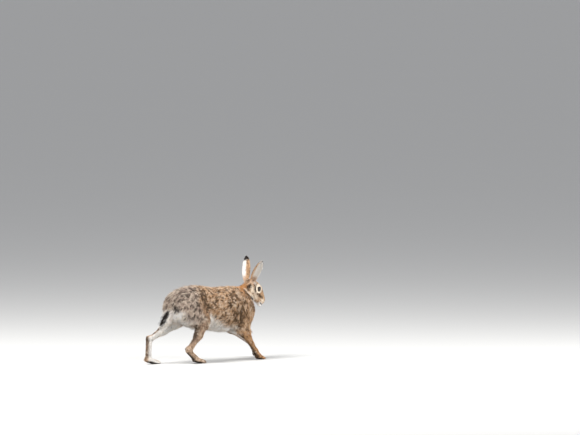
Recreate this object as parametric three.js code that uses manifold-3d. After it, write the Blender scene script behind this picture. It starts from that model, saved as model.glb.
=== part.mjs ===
// A brown hare in mid stride, life size, in millimetres.
// +X is ahead of the hare, +Y is its left side, +Z is up, and the soles rest on z = 0.
// The flesh is one smooth field of rounded masses laid round the joints of the skeleton. Each
// named piece is a part of the surface where that field is zero, parted by a thin cut.
import * as THREE from "three";
import { LoftGeometry } from "three/addons/geometries/LoftGeometry.js";
import { mergeVertices } from "three/addons/utils/BufferGeometryUtils.js";
import Module from "manifold-3d";

const wasm = await Module();
wasm.setup();

const vec = (x, y, z) => new THREE.Vector3(x, y, z);
const { degToRad, lerp, clamp } = THREE.MathUtils;
const SIDES = { left: 1, right: -1 };

// Driving sizes of the animal
const HEAD_PITCH = degToRad(35);
const HEAD_YAW = degToRad(-4);
const EYE_RADIUS = 9.6;
const EYE_ASIDE = 16.6;
const EYE_SEGMENTS = [12, 8];
const EAR_LENGTH = 92;
const EAR_ROOT = 10;
const EAR_HALF_ARC = 18.5;
const EAR_THICKNESS = 2.6;
const EAR_LEAF_FROM = 0.42;
const EAR_TIP_SHARE = 0.97;
const EAR_TIP_POWER = 2.2;
const EAR_CURL = { tip: 0.85, root: 1.75, fade: 0.25 };
const EAR_SPINE = { back: 8, bow: 5 };
const HIND_TOE_LENGTH = 46;
const HIND_TOE_RADIUS = 6.4;
const HIND_TOE_SPREAD = 7.6;
const FORE_TOE_LENGTH = 25;
const FORE_TOE_RADIUS = 5.4;
const FORE_TOE_SPREAD = 6;
const TOES = 4;
const CLAW_LENGTH = 8;
const CLAW_RADIUS = 2;
const CLAW_ROOT = 4;
const CLAW_DROOP = 0.25;
const SOLE_DEPTH = 1.4;

// The gap left by a cut, and how far from the middle plane the legs part from the trunk
const CUT = 0.35;
const LEG_PART_ASIDE = 22;

// The widths of the grid cells that each kind of piece is meshed with
const CELL = { trunk: 19, neck: 15.5, head: 7.6, upper: 15.5, lower: 11.8, foot: 8, tail: 10.5 };

// How far the box that a leg's piece is meshed in reaches beyond its joints, and the boxes of the
// other pieces
const LEG_MARGIN = { upper: 90, lower: 40, foot: 26 };
const TRUNK_BOX = { lo: [-210, -90, 74], hi: [230, 90, 300] };
const NECK_BOX = { lo: [90, -75, 110], hi: [235, 75, 300] };
const HEAD_BOX = { lo: [176, -56, 160], hi: [292, 48, 300] };
const TAIL_BOX = { lo: [-245, -40, 95], hi: [-120, 40, 230] };

// Joints of the pose: the right side gathers under the body, the left hind leg pushes off behind
// and the left forepaw lands ahead
const TAIL_ROOT = vec(-138, -4, 194);
const TAIL_TIP = vec(-210, -4, 134);
const NECK_BASE = vec(128, 0, 200);
const NECK_TOP = vec(186, -2, 238);
const BROW = vec(224, -4, 245);
const HIND = {
  right: {
    hip: vec(-116, -30, 202),
    knee: vec(-62, -54, 152),
    calf: vec(-82, -52, 102),
    hock: vec(-117, -50, 60),
    heel: vec(-135, -50, 53),
    ball: vec(-88, -43, 17),
    toesAhead: vec(0.98, 0.2, 0),
  },
  left: {
    hip: vec(-120, 30, 202),
    knee: vec(-100, 50, 144),
    calf: vec(-156, 48, 116),
    hock: vec(-216, 46, 90),
    heel: vec(-226, 46, 90),
    ball: vec(-229, 47, 18),
    toesAhead: vec(1, 0, 0),
  },
};
const FORE = {
  right: {
    blade: vec(112, -20, 222),
    shoulder: vec(152, -33, 174),
    elbow: vec(134, -45, 105),
    wrist: vec(187, -43, 34),
    fingers: vec(203, -42, 14),
    toesAhead: vec(1, 0, 0),
  },
  left: {
    blade: vec(128, 20, 222),
    shoulder: vec(168, 30, 178),
    elbow: vec(152, 43, 114),
    wrist: vec(250, 43, 46),
    fingers: vec(268, 43, 15),
    toesAhead: vec(1, 0, 0),
  },
};

// The head's own frame: x along the skull towards the nose, y to its left, z to its crown
const headTurn = new THREE.Quaternion()
  .setFromAxisAngle(vec(0, 0, 1), HEAD_YAW)
  .multiply(new THREE.Quaternion().setFromAxisAngle(vec(0, 1, 0), HEAD_PITCH));
const onHead = (x, y, z) => vec(x, y, z).applyQuaternion(headTurn).add(BROW);

// A rounded lump: an ellipsoid with half sizes `half`, turned by `turn`. A mass holds its field,
// the distance outside its surface, and `blend`, how far off it starts to flow into the rest.
const UNTURNED = new THREE.Quaternion();
function lump(centre, half, { turn = UNTURNED, blend = 14 } = {}) {
  const back = turn.clone().invert();
  const field = (p, q) => {
    q.copy(p).sub(centre).applyQuaternion(back);
    const scaled = Math.hypot(q.x / half.x, q.y / half.y, q.z / half.z);
    const slope = Math.hypot(q.x / half.x ** 2, q.y / half.y ** 2, q.z / half.z ** 2);
    return slope < 1e-9 ? -Math.min(half.x, half.y, half.z) : (scaled * (scaled - 1)) / slope;
  };
  return { field, blend };
}

// A limb: a round rod from a to b, with radius ra at a, rb at b and `swell` more halfway, and
// its width along Y times `flat`
function limb(a, b, ra, rb, { flat = 1, swell = 0, blend = 12 } = {}) {
  const along = b.clone().sub(a);
  const length = along.length();
  along.divideScalar(length);
  const aside = vec(0, 1, 0).addScaledVector(along, -along.y).normalize();
  const field = (p, q) => {
    q.copy(p).sub(a);
    const z = q.dot(along);
    const y = q.dot(aside);
    const x2 = Math.max(q.lengthSq() - z * z - y * y, 0);
    const at = clamp(z / length, 0, 1);
    const radius = lerp(ra, rb, at) + swell * Math.sin(Math.PI * at);
    const past = z - at * length;
    return (Math.sqrt(x2 + (y / flat) ** 2 + past * past) - radius) * Math.min(1, (1 + flat) / 2);
  };
  return { field, blend };
}

function trunkMasses() {
  return [
    lump(vec(72, 0, 178), vec(104, 55, 80), { blend: 20 }),
    lump(vec(-26, 0, 188), vec(106, 54, 78), { blend: 24 }),
    lump(vec(-82, 0, 208), vec(72, 55, 60), { blend: 24 }),
    lump(vec(146, -1, 166), vec(54, 40, 58), { blend: 20 }),
    limb(vec(60, 0, 207), vec(146, 0, 203), 44, 36, { blend: 22 }),
  ];
}

function neckMasses() {
  return [
    limb(NECK_BASE, NECK_TOP, 42, 29, { blend: 18 }),
    limb(vec(158, -1, 188), onHead(-22, 0, -16), 36, 22, { blend: 16 }),
  ];
}

function headMasses() {
  const here = (blend) => ({ turn: headTurn, blend });
  const masses = [
    lump(onHead(-18, 0, -1), vec(33, 23, 22), here(10)),
    lump(onHead(2, 0, 3), vec(27, 20, 15), here(10)),
    limb(onHead(2, 0, -3), onHead(44, 0, -15), 19, 11.5, { flat: 0.84, blend: 13 }),
    lump(onHead(22, 0, -9), vec(27, 14.5, 16), here(11)),
    lump(onHead(50, 0, -16.5), vec(8.5, 8, 9), here(7)),
    limb(onHead(-14, 0, -21), onHead(38, 0, -28), 18, 13, { flat: 0.84, blend: 14 }),
    lump(onHead(47, 0, -36), vec(9, 8, 9), here(7)),
  ];
  for (const side of Object.values(SIDES)) {
    masses.push(
      lump(onHead(-4, side * 11, -16), vec(27, 12, 20), here(9)),
      lump(onHead(3, side * 14.5, 8), vec(14, 7, 7), here(7)),
      lump(onHead(43, side * 7.5, -22), vec(12, 8.5, 9.5), here(7)),
    );
  }
  return masses;
}

function tailMasses() {
  return [limb(TAIL_ROOT, TAIL_TIP, 12, 8, { flat: 1.1, swell: 8, blend: 10 })];
}

// The toe tips fan out ahead of `root` at the height of their own radius, less what the floor
// cuts off to make the soles
function toeLine({ toesAhead }, root, length, spread, radius, index) {
  const aside = (index - (TOES - 1) / 2) * spread;
  const from = root.clone().add(vec(-4, aside * 0.75, -2));
  const tip = root.clone().addScaledVector(toesAhead, length - Math.abs(aside) * 0.6);
  tip.add(vec(0, aside, 0)).setZ(radius - SOLE_DEPTH);
  return { from, tip };
}

function toes(leg, root, length, spread, radius) {
  return Array.from({ length: TOES }, (_, index) => {
    const { from, tip } = toeLine(leg, root, length, spread, radius, index);
    return limb(from, tip, radius + 1.6, radius, { blend: 3.5 });
  });
}

const hindToes = (leg) => [leg, leg.ball, HIND_TOE_LENGTH, HIND_TOE_SPREAD, HIND_TOE_RADIUS];
const foreToes = (leg) => [leg, leg.fingers, FORE_TOE_LENGTH, FORE_TOE_SPREAD, FORE_TOE_RADIUS];

function hindLegMasses(leg) {
  return [
    limb(leg.hip, leg.knee.clone().add(vec(-8, 0, 4)), 50, 30, { flat: 0.64, blend: 22 }),
    limb(leg.hip.clone().add(vec(-16, 0, -26)), leg.knee, 32, 25, { flat: 0.66, blend: 20 }),
    limb(leg.knee, leg.calf, 26, 18, { flat: 0.74, blend: 12 }),
    limb(leg.calf, leg.hock, 18, 11, { flat: 0.82, blend: 10 }),
    limb(leg.hock, leg.heel, 10.5, 9, { blend: 6 }),
    limb(leg.heel, leg.ball, 10.5, 11, { flat: 1.05, blend: 8 }),
    ...toes(...hindToes(leg)),
  ];
}

function foreLegMasses(leg) {
  const elbowPoint = leg.elbow.clone().add(vec(-22, 0, 4));
  return [
    limb(leg.blade, leg.shoulder, 34, 34, { flat: 0.6, blend: 20 }),
    limb(leg.shoulder, leg.elbow, 34, 26, { flat: 0.6, blend: 16 }),
    lump(elbowPoint, vec(14, 10, 14), { blend: 12 }),
    limb(leg.elbow, leg.wrist, 22, 10.5, { flat: 0.76, swell: -1, blend: 12 }),
    limb(leg.wrist, leg.fingers, 10.5, 10, { flat: 1.05, blend: 6 }),
    ...toes(...foreToes(leg)),
  ];
}

const body = [
  ...trunkMasses(),
  ...neckMasses(),
  ...headMasses(),
  ...tailMasses(),
  ...Object.values(HIND).flatMap(hindLegMasses),
  ...Object.values(FORE).flatMap(foreLegMasses),
];

// The masses flow into each other: a smooth minimum whose fillet is each mass's own blend
const spare = vec(0, 0, 0);
function bodyField(p) {
  let least = Infinity;
  for (const { field, blend } of body) {
    const d = field(p, spare);
    const h = least === Infinity ? 0 : Math.max(blend - Math.abs(least - d), 0) / blend;
    least = Math.min(least, d) - (h * h * blend) / 4;
  }
  return least;
}

// The surface where the field is `grow` inside a box, on a grid of cells `cell` wide:
// one vertex for each group of joined inside corners of a cell, amid the crossings round it, and
// one quad for each grid edge that crosses the surface. The grid's outer layer counts as
// outside, so the surface is closed at the box's walls.
const CORNERS = Array.from({ length: 8 }, (_, c) => [c & 1, (c >> 1) & 1, c >> 2]);
const STEPS = [
  [1, 0, 0],
  [0, 1, 0],
  [0, 0, 1],
];
function surfaceNet(box, cell, grow = 0) {
  const lo = vec(...box.lo);
  const hi = vec(...box.hi);
  const n = hi.clone().sub(lo).divideScalar(cell).ceil().addScalar(1);
  const index = (i, j, k) => i + n.x * (j + n.y * k);
  const values = new Float64Array(n.x * n.y * n.z);
  const p = vec(0, 0, 0);
  for (let k = 0; k < n.z; k++)
    for (let j = 0; j < n.y; j++)
      for (let i = 0; i < n.x; i++) {
        const rim = !i || !j || !k || i === n.x - 1 || j === n.y - 1 || k === n.z - 1;
        const value = bodyField(p.set(i, j, k).multiplyScalar(cell).add(lo)) - grow;
        values[index(i, j, k)] = rim ? Math.max(value, cell / 2) : value;
      }
  const places = [];
  const known = new Map();
  const valueAt = ([i, j, k], [a, b, c]) => values[index(i + a, j + b, k + c)];
  const vertexAt = (cube, insidePoint) => {
    const first = insidePoint.map((value, axis) => value - cube[axis]);
    const joined = new Set([CORNERS.findIndex((corner) => corner.every((v, i) => v === first[i]))]);
    const centre = vec(0, 0, 0);
    let crossings = 0;
    for (const number of joined)
      for (const bit of [1, 2, 4]) {
        const from = valueAt(cube, CORNERS[number]);
        const to = valueAt(cube, CORNERS[number ^ bit]);
        if (to < 0) {
          joined.add(number ^ bit);
          continue;
        }
        centre.add(vec(...CORNERS[number]).lerp(vec(...CORNERS[number ^ bit]), from / (from - to)));
        crossings++;
      }
    const key = 8 * index(...cube) + Math.min(...joined);
    if (!known.has(key)) {
      known.set(key, places.length / 3);
      centre.divideScalar(crossings).add(vec(...cube)).multiplyScalar(cell).add(lo);
      places.push(centre.x, centre.y, centre.z);
    }
    return known.get(key);
  };
  const triangles = [];
  for (let k = 0; k < n.z - 1; k++)
    for (let j = 0; j < n.y - 1; j++)
      for (let i = 0; i < n.x - 1; i++)
        for (const [axis, [di, dj, dk]] of STEPS.entries()) {
          const inside = values[index(i, j, k)] < 0;
          if (inside === values[index(i + di, j + dj, k + dk)] < 0) continue;
          const u = STEPS[(axis + 1) % 3];
          const v = STEPS[(axis + 2) % 3];
          const insidePoint = inside ? [i, j, k] : [i + di, j + dj, k + dk];
          const at = (a, b) =>
            vertexAt([i, j, k].map((value, of) => value - a * u[of] - b * v[of]), insidePoint);
          const quad = [at(1, 1), at(0, 1), at(0, 0), at(1, 0)];
          if (!inside) quad.reverse();
          const [a, b, c, d] = quad;
          triangles.push(a, b, c, a, c, d);
        }
  settle(places, new THREE.Box3(lo, hi).expandByScalar(-1.5 * cell), cell, grow);
  return solid(new Float32Array(places), new Uint32Array(triangles));
}

// Moves each vertex within `wall` down the field's slope onto the surface
const PROBE = 0.05;
function settle(places, wall, cell, grow) {
  const p = vec(0, 0, 0);
  const q = vec(0, 0, 0);
  const slope = vec(0, 0, 0);
  for (let i = 0; i < places.length; i += 3) {
    p.fromArray(places, i);
    if (!wall.containsPoint(p)) continue;
    for (let round = 0; round < 2; round++) {
      const value = bodyField(p) - grow;
      for (const axis of ["x", "y", "z"]) {
        q.copy(p)[axis] += PROBE;
        slope[axis] = (bodyField(q) - grow - value) / PROBE;
      }
      p.addScaledVector(slope, clamp(-value / slope.lengthSq(), -cell / 3, cell / 3));
    }
    p.toArray(places, i);
  }
}

// Solids for cutting and joining, and the way back to three.js geometry
const solid = (vertProperties, triVerts) =>
  new wasm.Manifold(new wasm.Mesh({ numProp: 3, vertProperties, triVerts }));

const SAME_PLACE = 1e-4;
function solidOf(geometry) {
  const bare = new THREE.BufferGeometry();
  bare.setIndex(geometry.index);
  bare.setAttribute("position", geometry.getAttribute("position"));
  const merged = mergeVertices(bare, SAME_PLACE);
  return solid(merged.attributes.position.array, new Uint32Array(merged.index.array));
}

function geometryOf(made) {
  const mesh = made.getMesh();
  const geometry = new THREE.BufferGeometry();
  geometry.setAttribute("position", new THREE.BufferAttribute(mesh.vertProperties, 3));
  geometry.setIndex(new THREE.BufferAttribute(mesh.triVerts, 1));
  return geometry;
}

// The half of space that `towards` points to from the plane through `point`, as a large block
// that stops `gap` short of the plane
const REACH = 1000;
function halfSpace(point, towards, gap = CUT / 2) {
  const way = towards.clone().normalize();
  const turn = new THREE.Quaternion().setFromUnitVectors(vec(0, 0, 1), way);
  const centre = point.clone().addScaledVector(way, REACH / 2 + gap);
  const place = new THREE.Matrix4().compose(centre, turn, vec(1, 1, 1));
  return solidOf(new THREE.BoxGeometry(REACH, REACH, REACH).applyMatrix4(place));
}
const ahead = ({ point, towards }) => halfSpace(point, towards);
const behind = ({ point, towards }) => halfSpace(point, towards.clone().negate());

function block(lo, hi) {
  const size = hi.clone().sub(lo);
  const centre = lo.clone().lerp(hi, 0.5);
  const box = new THREE.BoxGeometry(size.x, size.y, size.z);
  return solidOf(box.translate(centre.x, centre.y, centre.z));
}

// The part of space that belongs to one leg: outwards from LEG_PART_ASIDE it is an oval dome
// in the XZ plane over the hip or shoulder, and a block below it that takes the leg down
const OUT = 250;
function legSpace(side, { centre, half, tilt, front, back, top }, grow = 0) {
  const oval = new THREE.Shape();
  oval.absellipse(0, 0, half.x + grow, half.y + grow, 0, 2 * Math.PI, false, tilt);
  const dome = new THREE.ExtrudeGeometry(oval, {
    depth: OUT + grow,
    bevelEnabled: false,
    curveSegments: 16,
  });
  dome.rotateX(Math.PI / 2);
  const inner = LEG_PART_ASIDE - grow;
  dome.translate(centre.x, side > 0 ? inner + OUT + grow : -inner, centre.y);
  const from = side > 0 ? inner : -inner - OUT;
  const column = block(
    vec(back - grow, from, -OUT),
    vec(front + grow, from + OUT, top + grow),
  );
  return solidOf(dome).add(column);
}

// Where each leg leaves the trunk: the dome's centre and half sizes in the XZ plane, its tilt,
// and the column's front, back and top
const v2 = (x, z) => new THREE.Vector2(x, z);
const HAUNCH = { half: v2(66, 78), tilt: -0.35 };
const SHOULDER = { half: v2(50, 70), tilt: 0.25 };
const LEG_SPACE = {
  hind: {
    right: { ...HAUNCH, centre: v2(-112, 178), front: -46, back: -240, top: 128 },
    left: { ...HAUNCH, centre: v2(-118, 178), front: -62, back: -300, top: 140 },
  },
  fore: {
    right: { ...SHOULDER, centre: v2(138, 176), front: 300, back: 84, top: 120 },
    left: { ...SHOULDER, centre: v2(158, 178), front: 360, back: 102, top: 120 },
  },
};

// Planes that part the pieces from each other, pointing away from the trunk
const NECK_PLANE = { point: vec(150, 0, 214), towards: vec(0.86, 0, 0.5) };
const NECK_FLOOR = 120;
const HEAD_PLANE = { point: vec(187, 0, 240), towards: vec(1, -0.1, 0.06) };
const THROAT_PLANE = { point: vec(187, 0, 206), towards: vec(0.7, 0, 0.7) };
const TAIL_PLANE = {
  point: TAIL_ROOT.clone().lerp(TAIL_TIP, 0.27),
  towards: TAIL_TIP.clone().sub(TAIL_ROOT),
};
const jointPlane = (from, joint, to) => ({
  point: joint,
  towards: to.clone().sub(joint).normalize().add(joint.clone().sub(from).normalize()),
});

// A part of the body's surface in the box round some points
function flesh(points, margin, cell) {
  const box = new THREE.Box3().setFromPoints(points).expandByScalar(margin);
  return surfaceNet({ lo: box.min.toArray(), hi: box.max.toArray() }, cell);
}

const ground = halfSpace(vec(0, 0, 0), vec(0, 0, 1), 0);

// Claws reach ahead and down from the toe tips, to just above the floor
function claws(leg, root, length, spread, radius) {
  return Array.from({ length: TOES }, (_, index) => {
    const { tip } = toeLine(leg, root, length, spread, radius, index);
    const claw = new THREE.ConeGeometry(CLAW_RADIUS, CLAW_LENGTH, 8);
    const pointing = leg.toesAhead.clone().add(vec(0, 0, -CLAW_DROOP)).normalize();
    claw.applyQuaternion(new THREE.Quaternion().setFromUnitVectors(vec(0, 1, 0), pointing));
    const centre = tip.clone().addScaledVector(pointing, radius + CLAW_LENGTH / 2 - CLAW_ROOT);
    return solidOf(claw.translate(centre.x, centre.y, centre.z));
  });
}

// The three pieces of a leg, parted at two of its joints
function legPieces(space, [hip, bend, ankle, root], toeArguments) {
  const bendPlane = jointPlane(hip, bend, ankle);
  const anklePlane = jointPlane(bend, ankle, root);
  const toeTips = Array.from({ length: TOES }, (_, i) => toeLine(...toeArguments, i).tip);
  const nails = claws(...toeArguments).reduce((all, claw) => all.add(claw));
  const upper = flesh([hip, bend], LEG_MARGIN.upper, CELL.upper).intersect(space);
  const lower = flesh([bend, ankle], LEG_MARGIN.lower, CELL.lower).intersect(space);
  const foot = flesh([ankle, root, ...toeTips], LEG_MARGIN.foot, CELL.foot).intersect(space);
  return [
    upper.intersect(behind(bendPlane)),
    lower.intersect(ahead(bendPlane)).intersect(behind(anklePlane)),
    foot.intersect(ahead(anklePlane)).add(nails).intersect(ground),
  ];
}

// Middle parts: the legs' spaces are taken out of them
const neckSpace = (grow) =>
  halfSpace(NECK_PLANE.point, NECK_PLANE.towards, -grow).intersect(
    halfSpace(vec(0, 0, NECK_FLOOR), vec(0, 0, 1), -grow),
  );
const legSpaces = { hind: {}, fore: {} };
let midst = block(vec(-OUT * 2, -OUT, -OUT), vec(OUT * 2, OUT, OUT * 2));
for (const [end, sides] of Object.entries(LEG_SPACE))
  for (const [side, space] of Object.entries(sides)) {
    legSpaces[end][side] = legSpace(SIDES[side], space).subtract(neckSpace(CUT));
    midst = midst.subtract(legSpace(SIDES[side], space, CUT));
  }

function trunkPiece() {
  return surfaceNet(TRUNK_BOX, CELL.trunk)
    .intersect(midst)
    .subtract(neckSpace(CUT))
    .intersect(behind(TAIL_PLANE));
}

const headSpace = (grow) =>
  halfSpace(HEAD_PLANE.point, HEAD_PLANE.towards, -grow).intersect(
    halfSpace(THROAT_PLANE.point, THROAT_PLANE.towards, -grow),
  );

function neckPiece() {
  return surfaceNet(NECK_BOX, CELL.neck)
    .intersect(neckSpace(0))
    .subtract(headSpace(CUT));
}

const headFlesh = (grow) => surfaceNet(HEAD_BOX, CELL.head, grow);

function eyeBall(side, grow = 0) {
  const ball = new THREE.SphereGeometry(EYE_RADIUS + grow, ...EYE_SEGMENTS);
  const centre = onHead(0, side * EYE_ASIDE, 0);
  return solidOf(ball.translate(centre.x, centre.y, centre.z));
}

function headPiece() {
  let head = headFlesh(0).intersect(headSpace(0));
  for (const side of Object.values(SIDES)) head = head.subtract(eyeBall(side, CUT));
  return head;
}

function tailPiece() {
  return surfaceNet(TAIL_BOX, CELL.tail)
    .intersect(midst)
    .intersect(ahead(TAIL_PLANE));
}

// An ear is a leaf rolled round its own axis: at height h from 0 to 1 its wall is an arc of
// `halfArc` mm each way from the back ridge, and it turns through `curl` each way. It is nearly
// a closed tube at the root and opens towards the tip.
const EARS = {
  left: { root: onHead(-38, 17, 6), lean: vec(0.25, 0.25, 1), opening: vec(0.72, 0.7, -0.2) },
  right: { root: onHead(-38, -17, 6), lean: vec(-0.02, -0.62, 0.84), opening: vec(-0.5, -0.8, -0.5) },
};
const EAR_ROWS = 11;
const EAR_POINTS = 8;
const EAR_GAP = 0.8;
function ear({ root, lean, opening }) {
  const up = lean.clone().normalize();
  const open = opening.clone().addScaledVector(up, -opening.dot(up)).normalize();
  const aside = up.clone().cross(open);
  const sections = Array.from({ length: EAR_ROWS }, (_, row) => {
    const h = row / (EAR_ROWS - 1);
    const leaf = Math.max((h - EAR_LEAF_FROM) / (1 - EAR_LEAF_FROM), 0);
    const halfArc = EAR_HALF_ARC * Math.sqrt(1 - (EAR_TIP_SHARE * leaf) ** EAR_TIP_POWER);
    const curl = EAR_CURL.tip + EAR_CURL.root * Math.exp(-((h / EAR_CURL.fade) ** 2));
    const radius = halfArc / curl;
    const spine = root.clone().addScaledVector(up, h * (EAR_LENGTH + EAR_ROOT) - EAR_ROOT);
    spine.addScaledVector(open, EAR_SPINE.bow * h * h - EAR_SPINE.back);
    const arc = (wall) =>
      Array.from({ length: EAR_POINTS }, (_, i) => {
        const angle = Math.PI + curl * ((2 * i) / (EAR_POINTS - 1) - 1);
        return spine
          .clone()
          .addScaledVector(open, radius + (radius + wall) * Math.cos(angle))
          .addScaledVector(aside, (radius + wall) * Math.sin(angle));
      });
    return [...arc(EAR_THICKNESS / 2), ...arc(-EAR_THICKNESS / 2).reverse()];
  });
  return solidOf(new LoftGeometry(sections, { capStart: true, capEnd: true }));
}

// Colours of the coat, by part
const COAT = {
  back: "#9b8163",
  head: "#a3815a",
  neck: "#b0875a",
  thigh: "#a39685",
  leg: "#b58a5c",
  ear: "#d8cfc0",
  tail: "#e6e2da",
  eye: "#2a1a0e",
};
const fur = (color) => new THREE.MeshStandardMaterial({ color, roughness: 0.95, metalness: 0 });
const glossy = (color) => new THREE.MeshStandardMaterial({ color, roughness: 0.08, metalness: 0 });

const hare = new THREE.Group();
const largest = (made) =>
  made.decompose().reduce((most, one) => (one.volume() > most.volume() ? one : most));
function addPiece(name, made, material) {
  const mesh = new THREE.Mesh(geometryOf(largest(made)), material);
  mesh.name = name;
  hare.add(mesh);
}

addPiece("trunk", trunkPiece(), fur(COAT.back));
addPiece("neck", neckPiece(), fur(COAT.neck));
addPiece("head", headPiece(), fur(COAT.head));
addPiece("tail", tailPiece(), fur(COAT.tail));
for (const [name, side] of Object.entries(SIDES)) {
  addPiece(`eye_${name}`, eyeBall(side), glossy(COAT.eye));
  addPiece(`ear_${name}`, ear(EARS[name]).subtract(headFlesh(EAR_GAP)), fur(COAT.ear));
  const { hip, knee, hock, ball } = HIND[name];
  const hindPieces = legPieces(legSpaces.hind[name], [hip, knee, hock, ball], hindToes(HIND[name]));
  ["thigh", "shank", "hind_foot"].forEach((piece, i) =>
    addPiece(`${piece}_${name}`, hindPieces[i], fur(i ? COAT.leg : COAT.thigh)),
  );
  const { shoulder, elbow, wrist, fingers } = FORE[name];
  const forePieces = legPieces(
    legSpaces.fore[name],
    [shoulder, elbow, wrist, fingers],
    foreToes(FORE[name]),
  );
  ["shoulder", "forearm", "forefoot"].forEach((piece, i) =>
    addPiece(`${piece}_${name}`, forePieces[i], fur(i ? COAT.leg : COAT.back)),
  );
}

// The origin is the middle of the footprint: the bounding box's centre, on the floor
const box = new THREE.Box3().setFromObject(hare);
const centre = box.getCenter(vec(0, 0, 0));
for (const mesh of hare.children) mesh.geometry.translate(-centre.x, -centre.y, -box.min.z);

export default hare;
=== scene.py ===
import math
import bmesh
import bpy
import numpy as np
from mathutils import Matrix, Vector
from mathutils.kdtree import KDTree


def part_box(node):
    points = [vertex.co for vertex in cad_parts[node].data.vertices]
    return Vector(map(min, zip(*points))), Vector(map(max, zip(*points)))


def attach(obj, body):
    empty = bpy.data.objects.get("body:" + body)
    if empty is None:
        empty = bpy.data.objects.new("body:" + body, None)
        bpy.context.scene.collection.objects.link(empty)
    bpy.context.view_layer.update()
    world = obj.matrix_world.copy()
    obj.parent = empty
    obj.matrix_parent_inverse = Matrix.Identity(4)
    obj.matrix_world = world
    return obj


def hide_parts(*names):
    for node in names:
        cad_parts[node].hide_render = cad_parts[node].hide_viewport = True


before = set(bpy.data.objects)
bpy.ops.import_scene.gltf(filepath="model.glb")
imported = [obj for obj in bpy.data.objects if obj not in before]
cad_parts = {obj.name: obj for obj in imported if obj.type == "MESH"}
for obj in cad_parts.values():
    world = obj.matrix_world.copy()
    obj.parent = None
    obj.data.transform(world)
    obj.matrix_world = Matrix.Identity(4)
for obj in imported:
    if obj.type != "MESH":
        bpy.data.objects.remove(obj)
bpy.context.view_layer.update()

bl_info = {
    "name": "Brown hare",
    "version": (1, 0, 0),
    "blender": (4, 5, 0),
    "location": "View3D > Sidebar > Hare",
    "description": "A life-size brown hare in mid stride, with skin, coat, eyes, claws and whiskers",
    "category": "Object",
}

# The hare's sides, with the sign of y on each, and its parts of flesh
SIDES = {"left": 1, "right": -1}
EAR_PARTS = tuple(f"ear_{side}" for side in SIDES)
EYE_PARTS = tuple(f"eye_{side}" for side in SIDES)
FOOT_PARTS = tuple(f"{foot}_{side}" for foot in ("hind_foot", "forefoot") for side in SIDES)
LEG_PARTS = tuple(f"{leg}_{side}" for leg in ("shank", "forearm") for side in SIDES)
HAUNCH_PARTS = tuple(f"{haunch}_{side}" for haunch in ("thigh", "shoulder") for side in SIDES)
FLESH = ("trunk", "neck", "head", "tail") + EAR_PARTS + HAUNCH_PARTS + LEG_PARTS + FOOT_PARTS
PART_NUMBER = {name: number for number, name in enumerate(FLESH)}

# Which part the hair of each part of a leg runs towards, and which one a foot's hair comes from
NEXT_PART = {"thigh": "shank", "shank": "hind_foot", "shoulder": "forearm", "forearm": "forefoot"}
LAST_PART = {"hind_foot": "shank", "forefoot": "forearm"}

# Millimetre in metres
MM = 0.001

# The head's turn: its nose points down by the pitch and to the right by the yaw
HEAD_PITCH = math.radians(35)
HEAD_YAW = math.radians(-4)

# How deep the coat is over the skin, how long its tufts are, how wide, how steep and how many
# layers of them lie over each point, for each kind of part
COAT = {
    "trunk": dict(depth=6.0, length=20.0, width=1.25, lift=16, layers=6.3),
    "haunch": dict(depth=5.0, length=18.0, width=1.2, lift=16, layers=6.0),
    "neck": dict(depth=5.0, length=15.0, width=1.1, lift=17, layers=5.5),
    "head": dict(depth=1.6, length=6.0, width=0.75, lift=15, layers=2.6),
    "tail": dict(depth=5.0, length=24.0, width=1.3, lift=19, layers=9.0),
    "ear": dict(depth=1.0, length=5.0, width=0.75, lift=10, layers=2.2),
    "leg": dict(depth=1.8, length=9.0, width=1.0, lift=14, layers=2.3),
    "foot": dict(depth=1.2, length=6.5, width=0.95, lift=13, layers=2.3),
}
KIND = {name: name for name in ("trunk", "neck", "head", "tail")}
KIND.update(dict.fromkeys(EAR_PARTS, "ear"))
KIND.update(dict.fromkeys(HAUNCH_PARTS, "haunch"))
KIND.update(dict.fromkeys(LEG_PARTS, "leg"))
KIND.update(dict.fromkeys(FOOT_PARTS, "foot"))

# The coat's pieces: which parts each one covers, how many lengths it is cut into, and its slot
COAT_PIECES = {
    "trunk": (("trunk",), 4, "coat_back"),
    "haunches": (HAUNCH_PARTS, 3, "coat_back"),
    "neck": (("neck",), 1, "coat_neck"),
    "head": (("head",), 1, "coat_head"),
    "tail": (("tail",), 1, "coat_tail"),
    "ears": (EAR_PARTS, 1, "coat_ear"),
    "legs": (LEG_PARTS, 1, "coat_leg"),
    "feet": (FOOT_PARTS, 1, "coat_leg"),
}

# Skin: the remesh's voxel, how far the solids are swollen before it so that the gaps between them
# close, and the ball round the face, in the head's millimetres, where its edges are halved
VOXEL = 2.35 * MM
GAP_CLOSING = 0.6 * MM
EAR_THICKENING = 0.8 * MM
FACE_MIDDLE = (14, 0, -12)
FACE_REACH = 50 * MM

# How the skin is smoothed: how much of the way to the neighbours' mean a point moves in a round,
# how much of that is lost on the stiff parts, and how many rounds each thing is smoothed
SMOOTHING_SHARE = 0.6
STIFF_KINDS = ("head", "ear", "foot")
STIFFNESS = 0.8
ROUNDS = {"stiffness": 12, "skin": 26, "lie": 60, "depth": 40, "last": 3, "markings": 14}

# The skin's lowest level, the level under which no tuft grows, and up to where the skin is drawn
# in by less than the coat's depth, with its smallest share
SKIN_LEVEL = 0.4 * MM
SOLE_LEVEL = 1.5 * MM
SOLE_FADE = 9 * MM
SOLE_SHARE = 0.25

# How much the flanks' hair is turned back and down, and between which levels a foot's hair turns
# ahead along the toes
FLANK_LIE = (0.9, 0.42)
TOE_LEVELS = (34 * MM, 14 * MM)

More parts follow.
